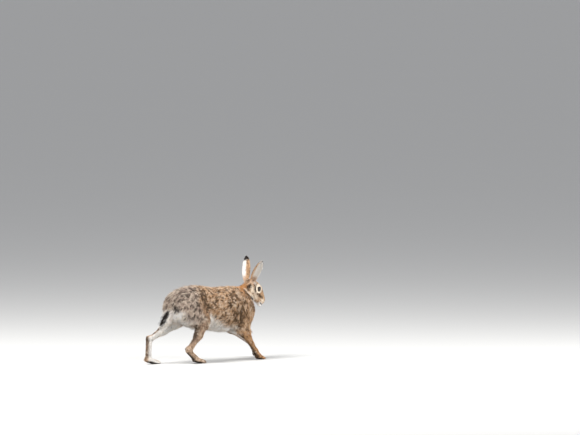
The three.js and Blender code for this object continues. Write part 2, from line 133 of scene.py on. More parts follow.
# Markings of the body, in millimetres with y counted away from the middle: dark spots as centre,
# radii and the shares of dark and pale hairs, the rump's grizzled top, and the pale line down the
# thigh, in x and z. Then, in metres, the start of the tail's stripe and the white under the tail.
DARK_SPOTS = (
    ((-84, 52, 222), (20, 44, 32), 0.95, 0.0),
    ((-66, 55, 196), (14, 44, 20), 0.9, 0.0),
    ((84, 60, 172), (22, 44, 26), 0.78, 0.03),
)
RUMP_SPOT = ((-150, 40, 235), (60, 50, 26))
THIGH_LINE = ((-104, 226), (-92, 190), (-70, 150), (-72, 118))
STRIPE_START = ((-0.166, 0.0, 0.200), (-0.186, -0.020, 0.202), (-0.200, -0.038, 0.196))
TAIL_PATCH = ((-0.196, -0.046, 0.176), (0.016, 0.018, 0.016))

# Markings of the head's side, in its millimetres ahead and up: the stripe under the eye, the pale line
# of the jaw, the bars between the eye and the ear, and painted shade where the head overlaps the neck: a
# dark bar behind the cheek and a dark line under the cheek
EYE_STRIPE = ((-22, -2), (-8, -15), (14, -17), (34, -16))
JAW_LINE = ((-46, -29), (-34, -36), (-12, -39), (16, -42))
PALE_BAR = ((-30, -10), (-22, -29))
EAR_BAR = ((-15, 0), (-18, -14))
NECK_SHADE_BAR = ((-36, -12), (-36, -26))
CHEEK_SHADE_LINE = ((-50, -36), (-40, -42), (-22, -46), (-4, -48))

# How wide and how deep the nostrils, the lip's cleft and the mouth are pressed in
CREASE_WIDTH = 1.7 * MM
CREASE_DEPTH = 1.6 * MM

# Toes: how far apart two claws are at least, how high up a foot they are looked for, and a claw's
# width, way, depth in the toe and lowest level
TOES = 4
TOE_GAP = {"hind": 5.4 * MM, "fore": 4.3 * MM}
CLAW_HEIGHT = 8 * MM
CLAW_WIDTH = 1.7 * MM
CLAW_WAY = (1.0, 0.0, -0.22)
CLAW_SINK = 0.2 * MM
CLAW_LEVEL = 0.1 * MM

# Eye: how far each looks ahead and up for one unit aside, the angles of the pupil, the iris and
# the cornea from its axis, and the cornea's rise as a share of the radius
GAZE = (0.22, 0.1)
PUPIL_ANGLE = math.radians(39)
IRIS_ANGLE = math.radians(62)
CORNEA_ANGLE = math.radians(50)
CORNEA_RISE = 0.09

# Lids: their opening is an almond of two half angles seen from the ball's middle, with its rear
# corner lower. Inside it the skin is tucked under the ball. All this reaches out to so many radii.
LID_LENGTH = math.radians(62)
LID_HEIGHT = math.radians(54)
LID_SLANT = 0.12
LID_THICKNESS = 1.1 * MM
LID_TUCK = 2.2 * MM
LID_REACH = 2.2

# Where the skin turns from tucked to lid, where the lid turns into the face, and where the lid's
# edge loses its bare dark rim, with 1 on the opening's edge
LID_EDGE = (0.93, 1.02)
LID_FADE = (1.15, 1.95)
LID_RIM = (1.3, 1.12)

# Whiskers: how many rows and lines there are on each pad and how many whiskers over an eye, the
# share of the full length that these have, the width of all, and how much each way strays
PAD_ROWS = 4
PAD_LINES = 4
BROW_ROWS = 3
BROW_SHARE = 0.6
WHISKER_WIDTH = 0.45 * MM
WHISKER_FAN = 0.12

# The coat's map: how wide a tuft's patch is, the margin that the unwrap keeps at the edges, and
# about how many roots find the long axis of a part
PATCH = 0.003
MAP_EDGE = 0.01
UNWRAP_SAMPLES = 4000

# Tufts: the share of its length by its width that one covers, how bare the skin may be under it,
# and how much the lengths, the widths, the lie and the lift in degrees stray
TUFT_COVER = 0.62
BARE_LIMIT = 0.25
LENGTH_RANGE = (0.72, 1.15)
WIDTH_RANGE = (0.75, 1.25)
LIE_SPREAD = 0.2
LIFT_SPREAD = 3.5

# Guard hairs: their share of the tufts, how much longer and steeper they are, and the length in
# millimetres that a coat with them passes
GUARD_SHARE = 0.08
GUARD_LENGTH = 1.25
GUARD_LIFT = 1.5
GUARD_COAT = 12

# How short the tufts are on the head, as shares: on the muzzle, how much more at the nape, with
# the two places of that change, and beside an eye, with the two distances, all in millimetres
MUZZLE_SHARE = 0.38
NAPE_GAIN = 0.87
MUZZLE_TO_NAPE = (54, -30)
EYE_SHARE = 0.45
EYE_DISTANCES = (12, 24)

# Clumps: how many tufts make one, and how much of its length a tuft's tip may lean
CLUMP_SIZE = 11
CLUMP_LEAN = 0.45

# Which hair a tuft shows: the weights of its own draw, its clump's draw and a slow noise of that
# size and seed
DRAW_WEIGHTS = (0.4, 0.8, 0.35)
SLOW_SIZE = 8 * MM
SLOW_SEED = 3

# How bright the hairs are as shares, from tuft to tuft: the base colour, the dark and the pale
# ones, and the underfur at the root
BASE_RANGE = (0.82, 1.14)
DARK_RANGE = (0.5, 1.25)
PALE_RANGE = (0.8, 1.1)
UNDERFUR_SHARE = 0.55

# A tuft's section: the angles of its three corners, how flat it is, its root's width as a share,
# how far that is sunk, how much steeper than a straight hair it starts, and, in millimetres, the
# lowest level of its first point and how much higher that of each next one is
TUFT_TURN = np.radians((90, 210, 330))
TUFT_FLATNESS = 0.45
ROOT_WIDTH = 0.8
ROOT_DEPTH = 0.5 * MM
ROOT_RISE = 1.7
FIRST_LEVEL = 0.1
LEVEL_STEP = 0.02

# Camera: the photograph's size, where it shows the middle between the eyes, and its scale there
PHOTO_WIDTH = 580
PHOTO_HEIGHT = 435
EYES_PIXEL = (255.3, 288.6)
MM_PER_PIXEL = 3.5
VIEW_AZIMUTH = math.radians(-42)
VIEW_ELEVATION = math.radians(3.5)
CAMERA_DISTANCE = 30.0
SENSOR_WIDTH = 36.0
FAR_CLIP = 400.0

# Studio: half the floor's width, and for each light its place as amounts of back, right and up
# from the hare, and its width. The lights point at the middle of the body.
FLOOR_HALF = 120.0
LIGHTS = {"key": ((1.6, -1.7, 3.2), 2.2), "fill": ((1.2, 2.8, 1.4), 2.5)}
BODY_MIDDLE = (0, 0, 0.15)
SKY_COLOUR = (0.93, 0.95, 1.0, 1.0)

# Noise: how many random values it takes its corners from, and the primes that pick one by x, y, z
NOISE_VALUES = 4096
NOISE_PRIMES = (73856093, 19349663, 83492791)

# For each kind of attribute: the name of its values, how many numbers one has, and their type
ATTRIBUTE_KINDS = {
    "FLOAT": ("value", 1, np.float32),
    "INT": ("value", 1, np.int32),
    "FLOAT_VECTOR": ("vector", 3, np.float32),
    "FLOAT_COLOR": ("color", 4, np.float32),
}


def srgb(red, green, blue):
    """The linear colour of a display colour given in 0 to 255, by the sRGB curve: c / 12.92 up to
    0.04045 and ((c + 0.055) / 1.055)^2.4 above."""
    shares = (red / 255, green / 255, blue / 255)
    return tuple(
        share / 12.92 if share <= 0.04045 else ((share + 0.055) / 1.055) ** 2.4 for share in shares
    )


def colour_property(name, description, default):
    """A colour that a user may change."""
    return bpy.props.FloatVectorProperty(
        name=name, description=description, subtype="COLOR", size=3, min=0, max=1, default=default
    )


class HareColours(bpy.types.PropertyGroup):
    """The coat's colours, from the photograph."""

    back: colour_property("Back", "Buff of the back and flanks", srgb(206, 166, 126))
    rump: colour_property("Rump", "Silver grey of the rump and thighs", srgb(194, 172, 156))
    rufous: colour_property("Nape", "Rust of the nape", srgb(196, 140, 84))
    tan: colour_property("Legs", "Tan of the legs and chest", srgb(206, 166, 126))
    belly: colour_property("Belly", "White of the belly and the tail", srgb(242, 239, 235))
    cream: colour_property("Cream", "Cream round the eye and on the cheek", srgb(240, 226, 206))
    # The dark colour also paints shade in the muzzle's creases and where the head overlaps the neck
    dark: colour_property("Dark hair", "Black brown of the dark hairs", srgb(44, 31, 23))
    black: colour_property("Black", "Black of the ear tips and the tail", srgb(22, 18, 17))
    iris: colour_property("Iris", "Amber brown of the iris", srgb(52, 31, 16))
    horn: colour_property("Claws", "Dark horn of the claws", srgb(70, 56, 46))
    # The lids' colour also paints shade in the muzzle's creases
    lid: colour_property("Lids", "Bare dark skin of the lids", srgb(48, 34, 28))
    floor: colour_property("Floor", "Pale floor", srgb(192, 191, 188))


def amount_property(name, description, default, lowest, **limits):
    """A number that a user may change."""
    return bpy.props.FloatProperty(
        name=name, description=description, default=default, min=lowest, **limits
    )


class HareSizes(bpy.types.PropertyGroup):
    """Sizes and amounts that a user may change."""

    fullness: amount_property("Fullness", "How many tufts there are, 1 as modelled", 1.0, 0.05, max=1.2)
    length: amount_property("Length", "Length of the tufts, 1 as modelled", 1.0, 0.3, max=2.0)
    clumping: amount_property("Clumping", "How far the tips of neighbours lean together", 0.6, 0, max=1)
    whisker: amount_property("Whisker", "Length of the longest whiskers", 0.044, 0.01, unit="LENGTH")
    claw: amount_property("Claw", "Length of a claw outside the fur", 0.010, 0.002, unit="LENGTH")
    seed: bpy.props.IntProperty(name="Seed", description="Start of the random numbers", default=7, min=0)


class HareStage(bpy.types.PropertyGroup):
    """The light of the studio."""

    key: amount_property("Key light", "Power of the soft main light", 270.0, 0, unit="POWER")
    fill: amount_property("Fill light", "Power of the light from the other side", 130.0, 0, unit="POWER")
    sky: amount_property("Sky", "Strength of the even light", 0.62, 0)


def unit(vectors):
    """Vectors divided by their own lengths."""
    return vectors / np.maximum(np.linalg.norm(vectors, axis=-1, keepdims=True), 1e-12)


def dot(first, second):
    """The sum of the products of the last axis."""
    return (first * second).sum(axis=-1)


def step(low, high, value):
    """0 below low, 1 above high, and a smooth cubic 3t^2 - 2t^3 between them."""
    share = np.clip((value - low) / (high - low), 0, 1)
    return share * share * (3 - 2 * share)


def blend(first, second, share):
    """first where share is 0, second where it is 1. A share for each row of colours is a column."""
    first, second, share = np.asarray(first), np.asarray(second), np.asarray(share)
    if 0 < share.ndim < max(first.ndim, second.ndim):
        share = share[:, None]
    return first * (1 - share) + second * share


def blob(points, centre, radii):
    """1 at the centre of an ellipsoid and falling as exp(-r^2), where r is 1 on its surface."""
    return np.exp(-(((points - np.array(centre)) / np.array(radii)) ** 2).sum(axis=-1))


def lattice_noise(points, size, seed):
    """Noise from 0 to 1: random values on a cubic lattice of that size, blended by the cubic step
    between the eight corners of each cell."""
    table = np.random.default_rng(seed).random(NOISE_VALUES)
    cell = np.floor(points / size).astype(np.int64)
    inside = points / size - cell
    inside = inside * inside * (3 - 2 * inside)
    total = np.zeros(len(points))
    for corner in np.ndindex(2, 2, 2):
        key = np.bitwise_xor.reduce((cell + np.array(corner)) * np.array(NOISE_PRIMES), axis=1)
        weight = np.prod(np.where(np.array(corner) == 1, inside, 1 - inside), axis=1)
        total += weight * table[key % NOISE_VALUES]
    return total


def mesh_arrays(mesh):
    """(points, triangles) of a mesh."""
    points = np.empty(len(mesh.vertices) * 3, np.float32)
    mesh.vertices.foreach_get("co", points)
    mesh.calc_loop_triangles()
    triangles = np.empty(len(mesh.loop_triangles) * 3, np.int32)
    mesh.loop_triangles.foreach_get("vertices", triangles)
    return points.reshape(-1, 3), triangles.reshape(-1, 3)


def node_arrays(name):
    """(points, triangles) of a CAD node, with its doubled points merged."""
    loose, triangles = mesh_arrays(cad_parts[name].data)
    grain = 1e-6
    keys = np.round(loose / grain).astype(np.int64)
    merged, new_number = np.unique(keys, axis=0, return_inverse=True)
    return merged * grain, new_number.reshape(-1)[triangles]


def joined(shapes):
    """One (points, triangles) pair from a list of such pairs."""
    points = np.concatenate([shape_points for shape_points, _ in shapes])
    starts = np.cumsum([0] + [len(shape_points) for shape_points, _ in shapes])
    triangles = [own + start for (_, own), start in zip(shapes, starts)]
    return points, np.concatenate(triangles)


def point_normals(points, triangles):
    """The unit normal at each point: the sum of its triangles' cross products."""
    first, second, third = (points[triangles[:, corner]] for corner in range(3))
    crosses = np.cross(second - first, third - first)
    normals = np.zeros_like(points)
    for corner in range(3):
        for axis in range(3):
            normals[:, axis] += np.bincount(triangles[:, corner], crosses[:, axis], len(points))
    return unit(normals)


def new_mesh(name, points, triangles, smooth=True):
    """A mesh of triangles from two arrays."""
    mesh = bpy.data.meshes.new(name)
    mesh.vertices.add(len(points))
    mesh.vertices.foreach_set("co", np.asarray(points, np.float32).ravel())
    mesh.loops.add(triangles.size)
    mesh.loops.foreach_set("vertex_index", np.asarray(triangles, np.int32).ravel())
    mesh.polygons.add(len(triangles))
    mesh.polygons.foreach_set("loop_start", np.arange(0, triangles.size, 3, dtype=np.int32))
    mesh.polygons.foreach_set("loop_total", np.full(len(triangles), 3, np.int32))
    mesh.polygons.foreach_set("use_smooth", np.full(len(triangles), smooth))
    mesh.update(calc_edges=True)
    return mesh


def new_piece(name, mesh, material):
    """An object of the hare that rides with its one body."""
    piece = bpy.data.objects.new(name, mesh)
    mesh.materials.append(material)
    bpy.context.scene.collection.objects.link(piece)
    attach(piece, "root")
    return piece


def store(mesh, name, kind, values):
    """Writes an attribute of the mesh's points."""
    field, _, number = ATTRIBUTE_KINDS[kind]
    attribute = mesh.attributes.new(name, kind, "POINT")
    attribute.data.foreach_set(field, np.ascontiguousarray(values, number).ravel())


def stored(mesh, name):
    """Reads an attribute of the mesh's points, with a column for each number of a value."""
    attribute = mesh.attributes[name]
    field, width, number = ATTRIBUTE_KINDS[attribute.data_type]
    values = np.empty(len(attribute.data) * width, number)
    attribute.data.foreach_get(field, values)
    return values.reshape(-1, width) if width > 1 else values


class Neighbours:
    """The edges of a mesh as one sorted list, for smoothing by whole arrays."""

    def __init__(self, triangles, count):
        pairs = np.concatenate([triangles[:, [0, 1]], triangles[:, [1, 2]], triangles[:, [2, 0]]])
        pairs = np.concatenate([pairs, pairs[:, ::-1]])
        pairs = np.unique(pairs, axis=0)
        self.other = pairs[:, 1]
        self.start = np.searchsorted(pairs[:, 0], np.arange(count))
        self.degree = np.bincount(pairs[:, 0], minlength=count)

    def mean(self, values):
        """The mean over each point's neighbours."""
        sums = np.add.reduceat(values[self.other], self.start, axis=0)
        return sums / (self.degree[:, None] if values.ndim > 1 else self.degree)

    def smooth(self, values, rounds, share=0.5):
        """Values moved that share of the way to their neighbours' mean, so many times."""
        for _ in range(rounds):
            values = values + (self.mean(values) - values) * share
        return values


def box_middle(node):
    """The middle of a node's box."""
    low, high = (np.array(corner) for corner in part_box(node))
    return (low + high) / 2


class Head:
    """The head's own frame: f to the nose, l to the left, t to the top, from between the eyes."""

    def __init__(self):
        self.eyes = {side: box_middle(f"eye_{side}") for side in SIDES}
        self.origin = (self.eyes["left"] + self.eyes["right"]) / 2
        cos_pitch, sin_pitch = math.cos(HEAD_PITCH), math.sin(HEAD_PITCH)
        cos_yaw, sin_yaw = math.cos(HEAD_YAW), math.sin(HEAD_YAW)
        self.f = np.array([cos_pitch * cos_yaw, cos_pitch * sin_yaw, -sin_pitch])
        self.l = np.array([-sin_yaw, cos_yaw, 0.0])
        self.t = np.cross(self.f, self.l)
        ahead, up = GAZE
        self.gaze = {
            side: unit(self.l * sign + self.f * ahead + self.t * up) for side, sign in SIDES.items()
        }

    def place(self, forward, aside, up):
        """A point given in the head's millimetres, in the frame's metres."""
        return self.origin + (self.f * forward + self.l * aside + self.t * up) * MM

    def local(self, points):
        """Points in the head's millimetres."""
        away = (points - self.origin) / MM
        return np.stack([dot(away, self.f), dot(away, self.l), dot(away, self.t)], axis=-1)


class Ear:
    """An ear's own frame: s runs 0 to 1 from root to tip, w across it, o out of its opening."""

    def __init__(self, side, head):
        points, _ = node_arrays(f"ear_{side}")
        centre = points.mean(axis=0)
        _, _, axes = np.linalg.svd(points - centre, full_matrices=False)
        along, across, through = axes
        along = along * np.sign(dot(along, centre - head.origin))
        away = points - centre
        curl = dot(away, through) * np.abs(dot(away, across))
        through = through * np.sign(curl.sum())
        outward = np.array([0, SIDES[side], 0])
        across = across * np.sign(dot(across, outward))
        self.low = dot(points, along).min()
        self.length = dot(points, along).max() - self.low
        self.half_width = np.abs(dot(away, across)).max()
        self.along, self.across, self.through, self.centre = along, across, through, centre

    def rise(self, points):
        """0 at the root and 1 at the tip."""
        return (dot(points, self.along) - self.low) / self.length

    def side(self, points):
        """-1 at the inner edge, 1 at the outer edge."""
        return dot(points - self.centre, self.across) / self.half_width


def remeshed(points, triangles):
    """One closed skin round many closed solids, by Blender's voxel remesh."""
    rough = bpy.data.objects.new("rough", new_mesh("rough", points, triangles))
    bpy.context.scene.collection.objects.link(rough)
    remesh = rough.modifiers.new("remesh", "REMESH")
    remesh.mode = "VOXEL"
    remesh.voxel_size = VOXEL
    graph = bpy.context.evaluated_depsgraph_get()
    skin = bpy.data.meshes.new_from_object(rough.evaluated_get(graph))
    bpy.data.objects.remove(rough, do_unlink=True)
    return skin


def refined(mesh, centre, reach):
    """(points, triangles) of a mesh's largest shell, with the edges within reach of the centre
    halved once."""
    shape = bmesh.new()
    shape.from_mesh(mesh)
    middle = Vector(centre)
    near = [edge for edge in shape.edges if (edge.verts[0].co - middle).length < reach]
    bmesh.ops.subdivide_edges(shape, edges=near, cuts=1, use_grid_fill=True)
    bmesh.ops.triangulate(shape, faces=shape.faces[:])
    shape.verts.index_update()
    points = np.array([vertex.co for vertex in shape.verts])
    triangles = np.array([[vertex.index for vertex in face.verts] for face in shape.faces])
    shape.free()
    return largest_shell(points, triangles)


def largest_shell(points, triangles):
    """Only the connected surface with the most points: each point takes the lowest number that
    it or a neighbour holds until nothing changes."""
    label = np.arange(len(points))
    while True:
        lowest = label[triangles].min(axis=1)
        new = label.copy()
        for corner in range(3):
            np.minimum.at(new, triangles[:, corner], lowest)
        new = new[new]
        if np.array_equal(new, label):
            break
        label = new
    kept = label == np.bincount(label).argmax()
    number = np.cumsum(kept) - 1
    return points[kept], number[triangles[kept[triangles[:, 0]]]]


def spread_over(points, triangles):
    """Points over a surface: each triangle's centre, three rings of points between it and the
    corners, and the middles of the edges."""
    corners = points[triangles]
    centre = corners.mean(axis=1, keepdims=True)
    rings = [(centre + (corners - centre) * share).reshape(-1, 3) for share in (0.15, 0.5, 1.0)]
    edges = (corners + np.roll(corners, 1, axis=1)) / 2
    return np.concatenate([centre[:, 0], *rings, edges.reshape(-1, 3)])


def nearest(tree_points, points):
    """The number of the nearest tree point to each point."""
    tree = KDTree(len(tree_points))
    for number, point in enumerate(tree_points):
        tree.insert(point, number)
    tree.balance()
    return np.array([tree.find(point)[1] for point in points])


def part_of_points(points):
    """The number of the part of flesh nearest to each point."""
    samples, numbers = [], []
    for name in FLESH:
        sample = spread_over(*node_arrays(name))
        samples.append(sample)
        numbers.append(np.full(len(sample), PART_NUMBER[name]))
    samples, numbers = np.concatenate(samples), np.concatenate(numbers)
    return numbers[nearest(samples, points)]


def per_part(values, part):
    """A value of each part, at each point. Values is a function of the part's name."""
    table = np.array([values(name) for name in FLESH], float)
    return table[part]


def coat_field(part, field):
    """A column of the coat table at each point."""
    return per_part(lambda name: COAT[KIND[name]][field], part)


def lie_of_coat(points, part, head, ears):
    """The way the hair points before smoothing: back along the head and trunk and down the
    flanks, to the tips of the ears and the tail, and down each leg to its toes."""
    middle = {name: box_middle(name) for name in FLESH}
    back = np.array([-1.0, 0.0, 0.0])
    down = np.array([0.0, 0.0, -1.0])
    towards = {
        "trunk": back,
        "neck": middle["trunk"] - middle["head"],
        "head": -head.f,
        "tail": middle["tail"] - np.array(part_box("tail")[1]) * np.array([1, 0, 1]),
    }
    for side in SIDES:
        towards[f"ear_{side}"] = ears[side].along
        for name, following in NEXT_PART.items():
            towards[f"{name}_{side}"] = middle[f"{following}_{side}"] - middle[f"{name}_{side}"]
        for name, before in LAST_PART.items():
            towards[f"{name}_{side}"] = middle[f"{name}_{side}"] - middle[f"{before}_{side}"]
    lie = per_part(lambda name: unit(np.asarray(towards[name], float)), part)
    flank = np.isin(part, [PART_NUMBER[name] for name in ("trunk", *HAUNCH_PARTS)])
    lie[flank] = unit(lie[flank] + back * FLANK_LIE[0] + down * FLANK_LIE[1])
    toes = np.isin(part, [PART_NUMBER[name] for name in FOOT_PARTS])
    low = step(*TOE_LEVELS, points[:, 2]) * toes
    return unit(blend(lie, -back, low))


class Paint:
    """The coat's markings at the skin's points: a base colour, and the shares of dark and of pale
    hairs among it. Each stroke lays a colour over what is there."""

    def __init__(self, colour, count):
        self.colour = np.tile(np.array(colour, float), (count, 1))
        self.dark = np.zeros(count)
        self.pale = np.zeros(count)

    def stroke(self, mask, colour=None, dark=None, pale=None):
        """Lays a colour and hair shares where the mask is 1."""
        if colour is not None:
            self.colour = blend(self.colour, np.array(colour, float), mask)
        if dark is not None:
            self.dark = self.dark * (1 - mask) + dark * mask
        if pale is not None:
            self.pale = self.pale * (1 - mask) + pale * mask


def segment_distance(points, start, end):
    """Distance to a straight segment: to start + t (end - start), t held within 0 to 1."""
    start, end = np.array(start, float), np.array(end, float)
    run = end - start
    share = np.clip(dot(points - start, run) / max(dot(run, run), 1e-12), 0, 1)
    return np.linalg.norm(points - start - share[:, None] * run, axis=1)


def line_mask(points, stops, width):
    """1 on a bent line through the stops, falling as exp(-(d/width)^2)."""
    away = np.min([segment_distance(points, a, b) for a, b in zip(stops, stops[1:])], axis=0)
    return np.exp(-((away / width) ** 2))


def paint_body(paint, points, normals, weight, colours):
    """Markings of the trunk, the haunches and the neck. Weight is each part's smoothed mask."""
    x, z = points[:, 0] / MM, points[:, 2] / MM
    aside = np.abs(points[:, 1]) / MM
    folded = np.stack([x, aside, z], axis=1)
    slow, quick = lattice_noise(points, 16 * MM, 11), lattice_noise(points, 5 * MM, 12)
    wander = (slow - 0.5) * 22 + (quick - 0.5) * 20
    body, neck = weight("trunk", "neck", *HAUNCH_PARTS), weight("neck")
    paint.stroke(body, colours.back, dark=0.4, pale=0.24)
    rump = body * step(-66, -100, x + wander * 0.6)
    paint.stroke(rump, colours.rump, dark=0.28, pale=0.3)
    paint.stroke(rump * blob(folded, *RUMP_SPOT), colours.rump, dark=0.42, pale=0.34)
    for centre, radii, dark, pale in DARK_SPOTS:
        paint.stroke(body * blob(folded, centre, radii), colours.back, dark=dark, pale=pale)
    thigh_line = body * line_mask(folded[:, [0, 2]], THIGH_LINE, 11) * 0.8
    paint.stroke(thigh_line, colours.tan, dark=0.1, pale=0.12)
    chest = body * step(100, 128, x + wander * 0.5) * step(205, 175, z)
    paint.stroke(chest, colours.tan, dark=0.2, pale=0.2)
    low_shoulder = weight("shoulder_left", "shoulder_right") * step(150, 112, z + wander * 0.5)
    paint.stroke(low_shoulder, colours.tan, dark=0.26, pale=0.2)
    edge = z + 0.54 * np.maximum(x + 46, 0) + wander * 0.7
    flank = body * step(180, 160, edge) * step(104, 78, x + wander) * step(-78, -56, x)
    paint.stroke(flank, colours.belly, dark=0.02, pale=0.3)
    under = body * step(-0.35, -0.75, normals[:, 2]) * step(190, 160, z)
    paint.stroke(under, colours.belly, dark=0.02, pale=0.3)
    crotch = body * step(-96, -116, x) * step(168, 140, z) * step(52, 30, aside)
    paint.stroke(crotch, colours.belly, dark=0.05, pale=0.3)
    low_neck = neck * step(215, 195, z)
    paint.stroke(low_neck, colours.tan, dark=0.24, pale=0.2)
    nape = neck * step(100, 128, x) * step(212, 236, z + wander * 0.5)
    paint.stroke(nape, colours.rufous, dark=0.14, pale=0.1)
    throat = neck * step(-0.1, -0.6, normals[:, 2])
    paint.stroke(throat, colours.tan, dark=0.08, pale=0.2)


def paint_legs(paint, points, normals, weight, colours):
    """Tan legs with a dark rear edge, pale inner sides and brown soles."""
    z = points[:, 2] / MM
    facing_in = -normals[:, 1] * np.sign(points[:, 1])
    fore = weight("forearm_left", "forearm_right", "forefoot_left", "forefoot_right")
    paint.stroke(fore, blend(colours.tan, colours.rufous, 0.45), dark=0.16, pale=0.1)
    fore_rear = fore * step(-0.2, -0.8, normals[:, 0]) * 0.7
    paint.stroke(fore_rear, colours.dark, dark=0.4, pale=0.05)
    hind = weight("shank_left", "shank_right", "hind_foot_left", "hind_foot_right")
    paint.stroke(hind, blend(colours.tan, colours.rump, 0.5), dark=0.14, pale=0.22)
    hind_rear = hind * step(-0.15, -0.8, normals[:, 0]) * step(50, 90, z) * 0.7
    paint.stroke(hind_rear, colours.dark, dark=0.5, pale=0.1)
    inner_sides = np.clip(fore + hind, 0, 1) * step(0.15, 0.75, facing_in)
    paint.stroke(inner_sides, colours.belly, dark=0.04, pale=0.3)
    soles = weight(*FOOT_PARTS) * step(-0.35, -0.8, normals[:, 2])
    paint.stroke(soles, colours.dark, dark=0.3, pale=0.05)
    raised_sole = weight("hind_foot_left") * step(-0.1, -0.7, normals[:, 0]) * step(14, 30, z) * 0.75
    paint.stroke(raised_sole, blend(colours.dark, colours.tan, 0.45), dark=0.4, pale=0.1)


def paint_tail(paint, points, normals, weight, colours):
    """White tail with a black stripe along its top."""
    tail, rump = weight("tail"), weight("trunk", "thigh_left", "thigh_right")
    paint.stroke(tail, colours.belly, dark=0.0, pale=0.3)
    under = rump * step(-0.25, -0.6, normals[:, 0]) * step(0.200, 0.186, points[:, 2])
    paint.stroke(under, colours.belly, dark=0.04, pale=0.3)
    paint.stroke(rump * blob(points, *TAIL_PATCH), colours.belly, dark=0.0, pale=0.3)
    start = rump * line_mask(points, STRIPE_START, 9 * MM)
    paint.stroke(start, colours.black, dark=0.7, pale=0.0)
    from_middle = np.abs(points[:, 1] - box_middle("tail")[1]) / MM
    facing_up = normals[:, 2] - normals[:, 0] * 0.35
    stripe = tail * (step(14, 9, from_middle) * step(0.05, 0.3, facing_up))
    paint.stroke(stripe, colours.black, dark=0.6, pale=0.0)


def paint_ears(paint, points, normals, weight, colours, ears):
    """Black tip on the back, white outer half, tan inner half, pale inside with a white rim."""
    for side in SIDES:
        ear, mask = ears[side], weight(f"ear_{side}")
        rise, across = ear.rise(points), ear.side(points)
        back = step(0.1, -0.3, dot(normals, ear.through))
        paint.stroke(mask, colours.belly, dark=0.03, pale=0.3)
        inner_half = mask * back * step(0.25, -0.1, across)
        paint.stroke(inner_half, colours.tan, dark=0.32, pale=0.06)
        outer_half = mask * back * step(-0.1, 0.25, across)
        paint.stroke(outer_half, colours.belly, dark=0.03, pale=0.3)
        inner_rim = mask * (1 - back) * step(0.1, 0.5, np.abs(across)) * step(0, -0.5, across)
        paint.stroke(inner_rim, colours.tan, dark=0.08)
        outer_rim = mask * (1 - back) * step(0.6, 0.85, across)
        paint.stroke(outer_rim, colours.belly, dark=0.0, pale=0.5)
        foot_of_ear = mask * step(0.3, 0.08, rise)
        paint.stroke(foot_of_ear, blend(colours.tan, colours.rufous, 0.5), dark=0.12)
        tip = mask * np.clip(back * 1.2 + 0.15, 0, 1) * step(0.77, 0.85, rise + across * 0.03)
        paint.stroke(tip, colours.black, dark=0.5, pale=0.0)


def paint_head(paint, points, normals, weight, colours, head):
    """Cream ring round the eye, dark stripe under it, pale cheek, painted shade behind and under the
    cheek where the head overlaps the neck, pale muzzle side and chin, brown bridge of the nose."""
    local = head.local(points)
    forward, aside, up = local[:, 0], np.abs(local[:, 1]), local[:, 2]
    profile = np.stack([forward, up], axis=1)
    mask, outer = weight("head"), step(6, 12, aside)
    face, face_and_neck = mask * outer, weight("head", "neck") * outer
    paint.stroke(mask, blend(colours.tan, colours.back, 0.55), dark=0.26, pale=0.15)
    crown = mask * step(-4, 8, up) * step(10, -20, forward)
    paint.stroke(crown, colours.back, dark=0.34, pale=0.12)
    behind_eye = face * blob(profile, (-10, -20), (16, 9))
    paint.stroke(behind_eye, colours.cream, dark=0.1, pale=0.3)
    eye_stripe = face * line_mask(profile, EYE_STRIPE, 4.6)
    paint.stroke(eye_stripe, blend(colours.tan, colours.dark, 0.5), dark=0.62, pale=0.0)
    cheek = face * blob(profile, (8, -30), (16, 7))
    paint.stroke(cheek, colours.cream, dark=0.12, pale=0.25)
    throat = mask * step(-34, -42, up)
    paint.stroke(throat, colours.belly, dark=0.02, pale=0.3)
    muzzle_side = face * blob(profile, (42, -24), (9, 7))
    paint.stroke(muzzle_side, colours.cream, dark=0.06, pale=0.3)
    chin = mask * step(30, 40, forward) * step(-27, -33, up)
    paint.stroke(chin, colours.belly, dark=0.04, pale=0.3)
    paint.stroke(face_and_neck * line_mask(profile, JAW_LINE, 3.8), colours.cream, dark=0.03)
    paint.stroke(face_and_neck * line_mask(profile, PALE_BAR, 4.4), colours.cream, dark=0.05, pale=0.3)
    paint.stroke(face_and_neck * line_mask(profile, EAR_BAR, 3.4), colours.dark, dark=0.6)
    # Painted shade: a dark bar behind the cheek, where the head overlaps the neck
    paint.stroke(face_and_neck * line_mask(profile, NECK_SHADE_BAR, 4.6), colours.dark, dark=0.9, pale=0.0)
    # Painted shade: a dark line under the cheek, where the jaw overlaps the neck
    cheek_shade_line = face_and_neck * line_mask(profile, CHEEK_SHADE_LINE, 3.2) * 0.85
    paint.stroke(cheek_shade_line, colours.dark, dark=0.75, pale=0.0)
    before_ear = face * blob(profile, (-24, 8), (7, 6))
    paint.stroke(before_ear, colours.belly, dark=0.0, pale=0.4)
    for side in SIDES:
        away = np.linalg.norm(points - head.eyes[side], axis=1) / MM
        paint.stroke(mask * step(17.5, 14.5, away), colours.cream, dark=0.02, pale=0.5)


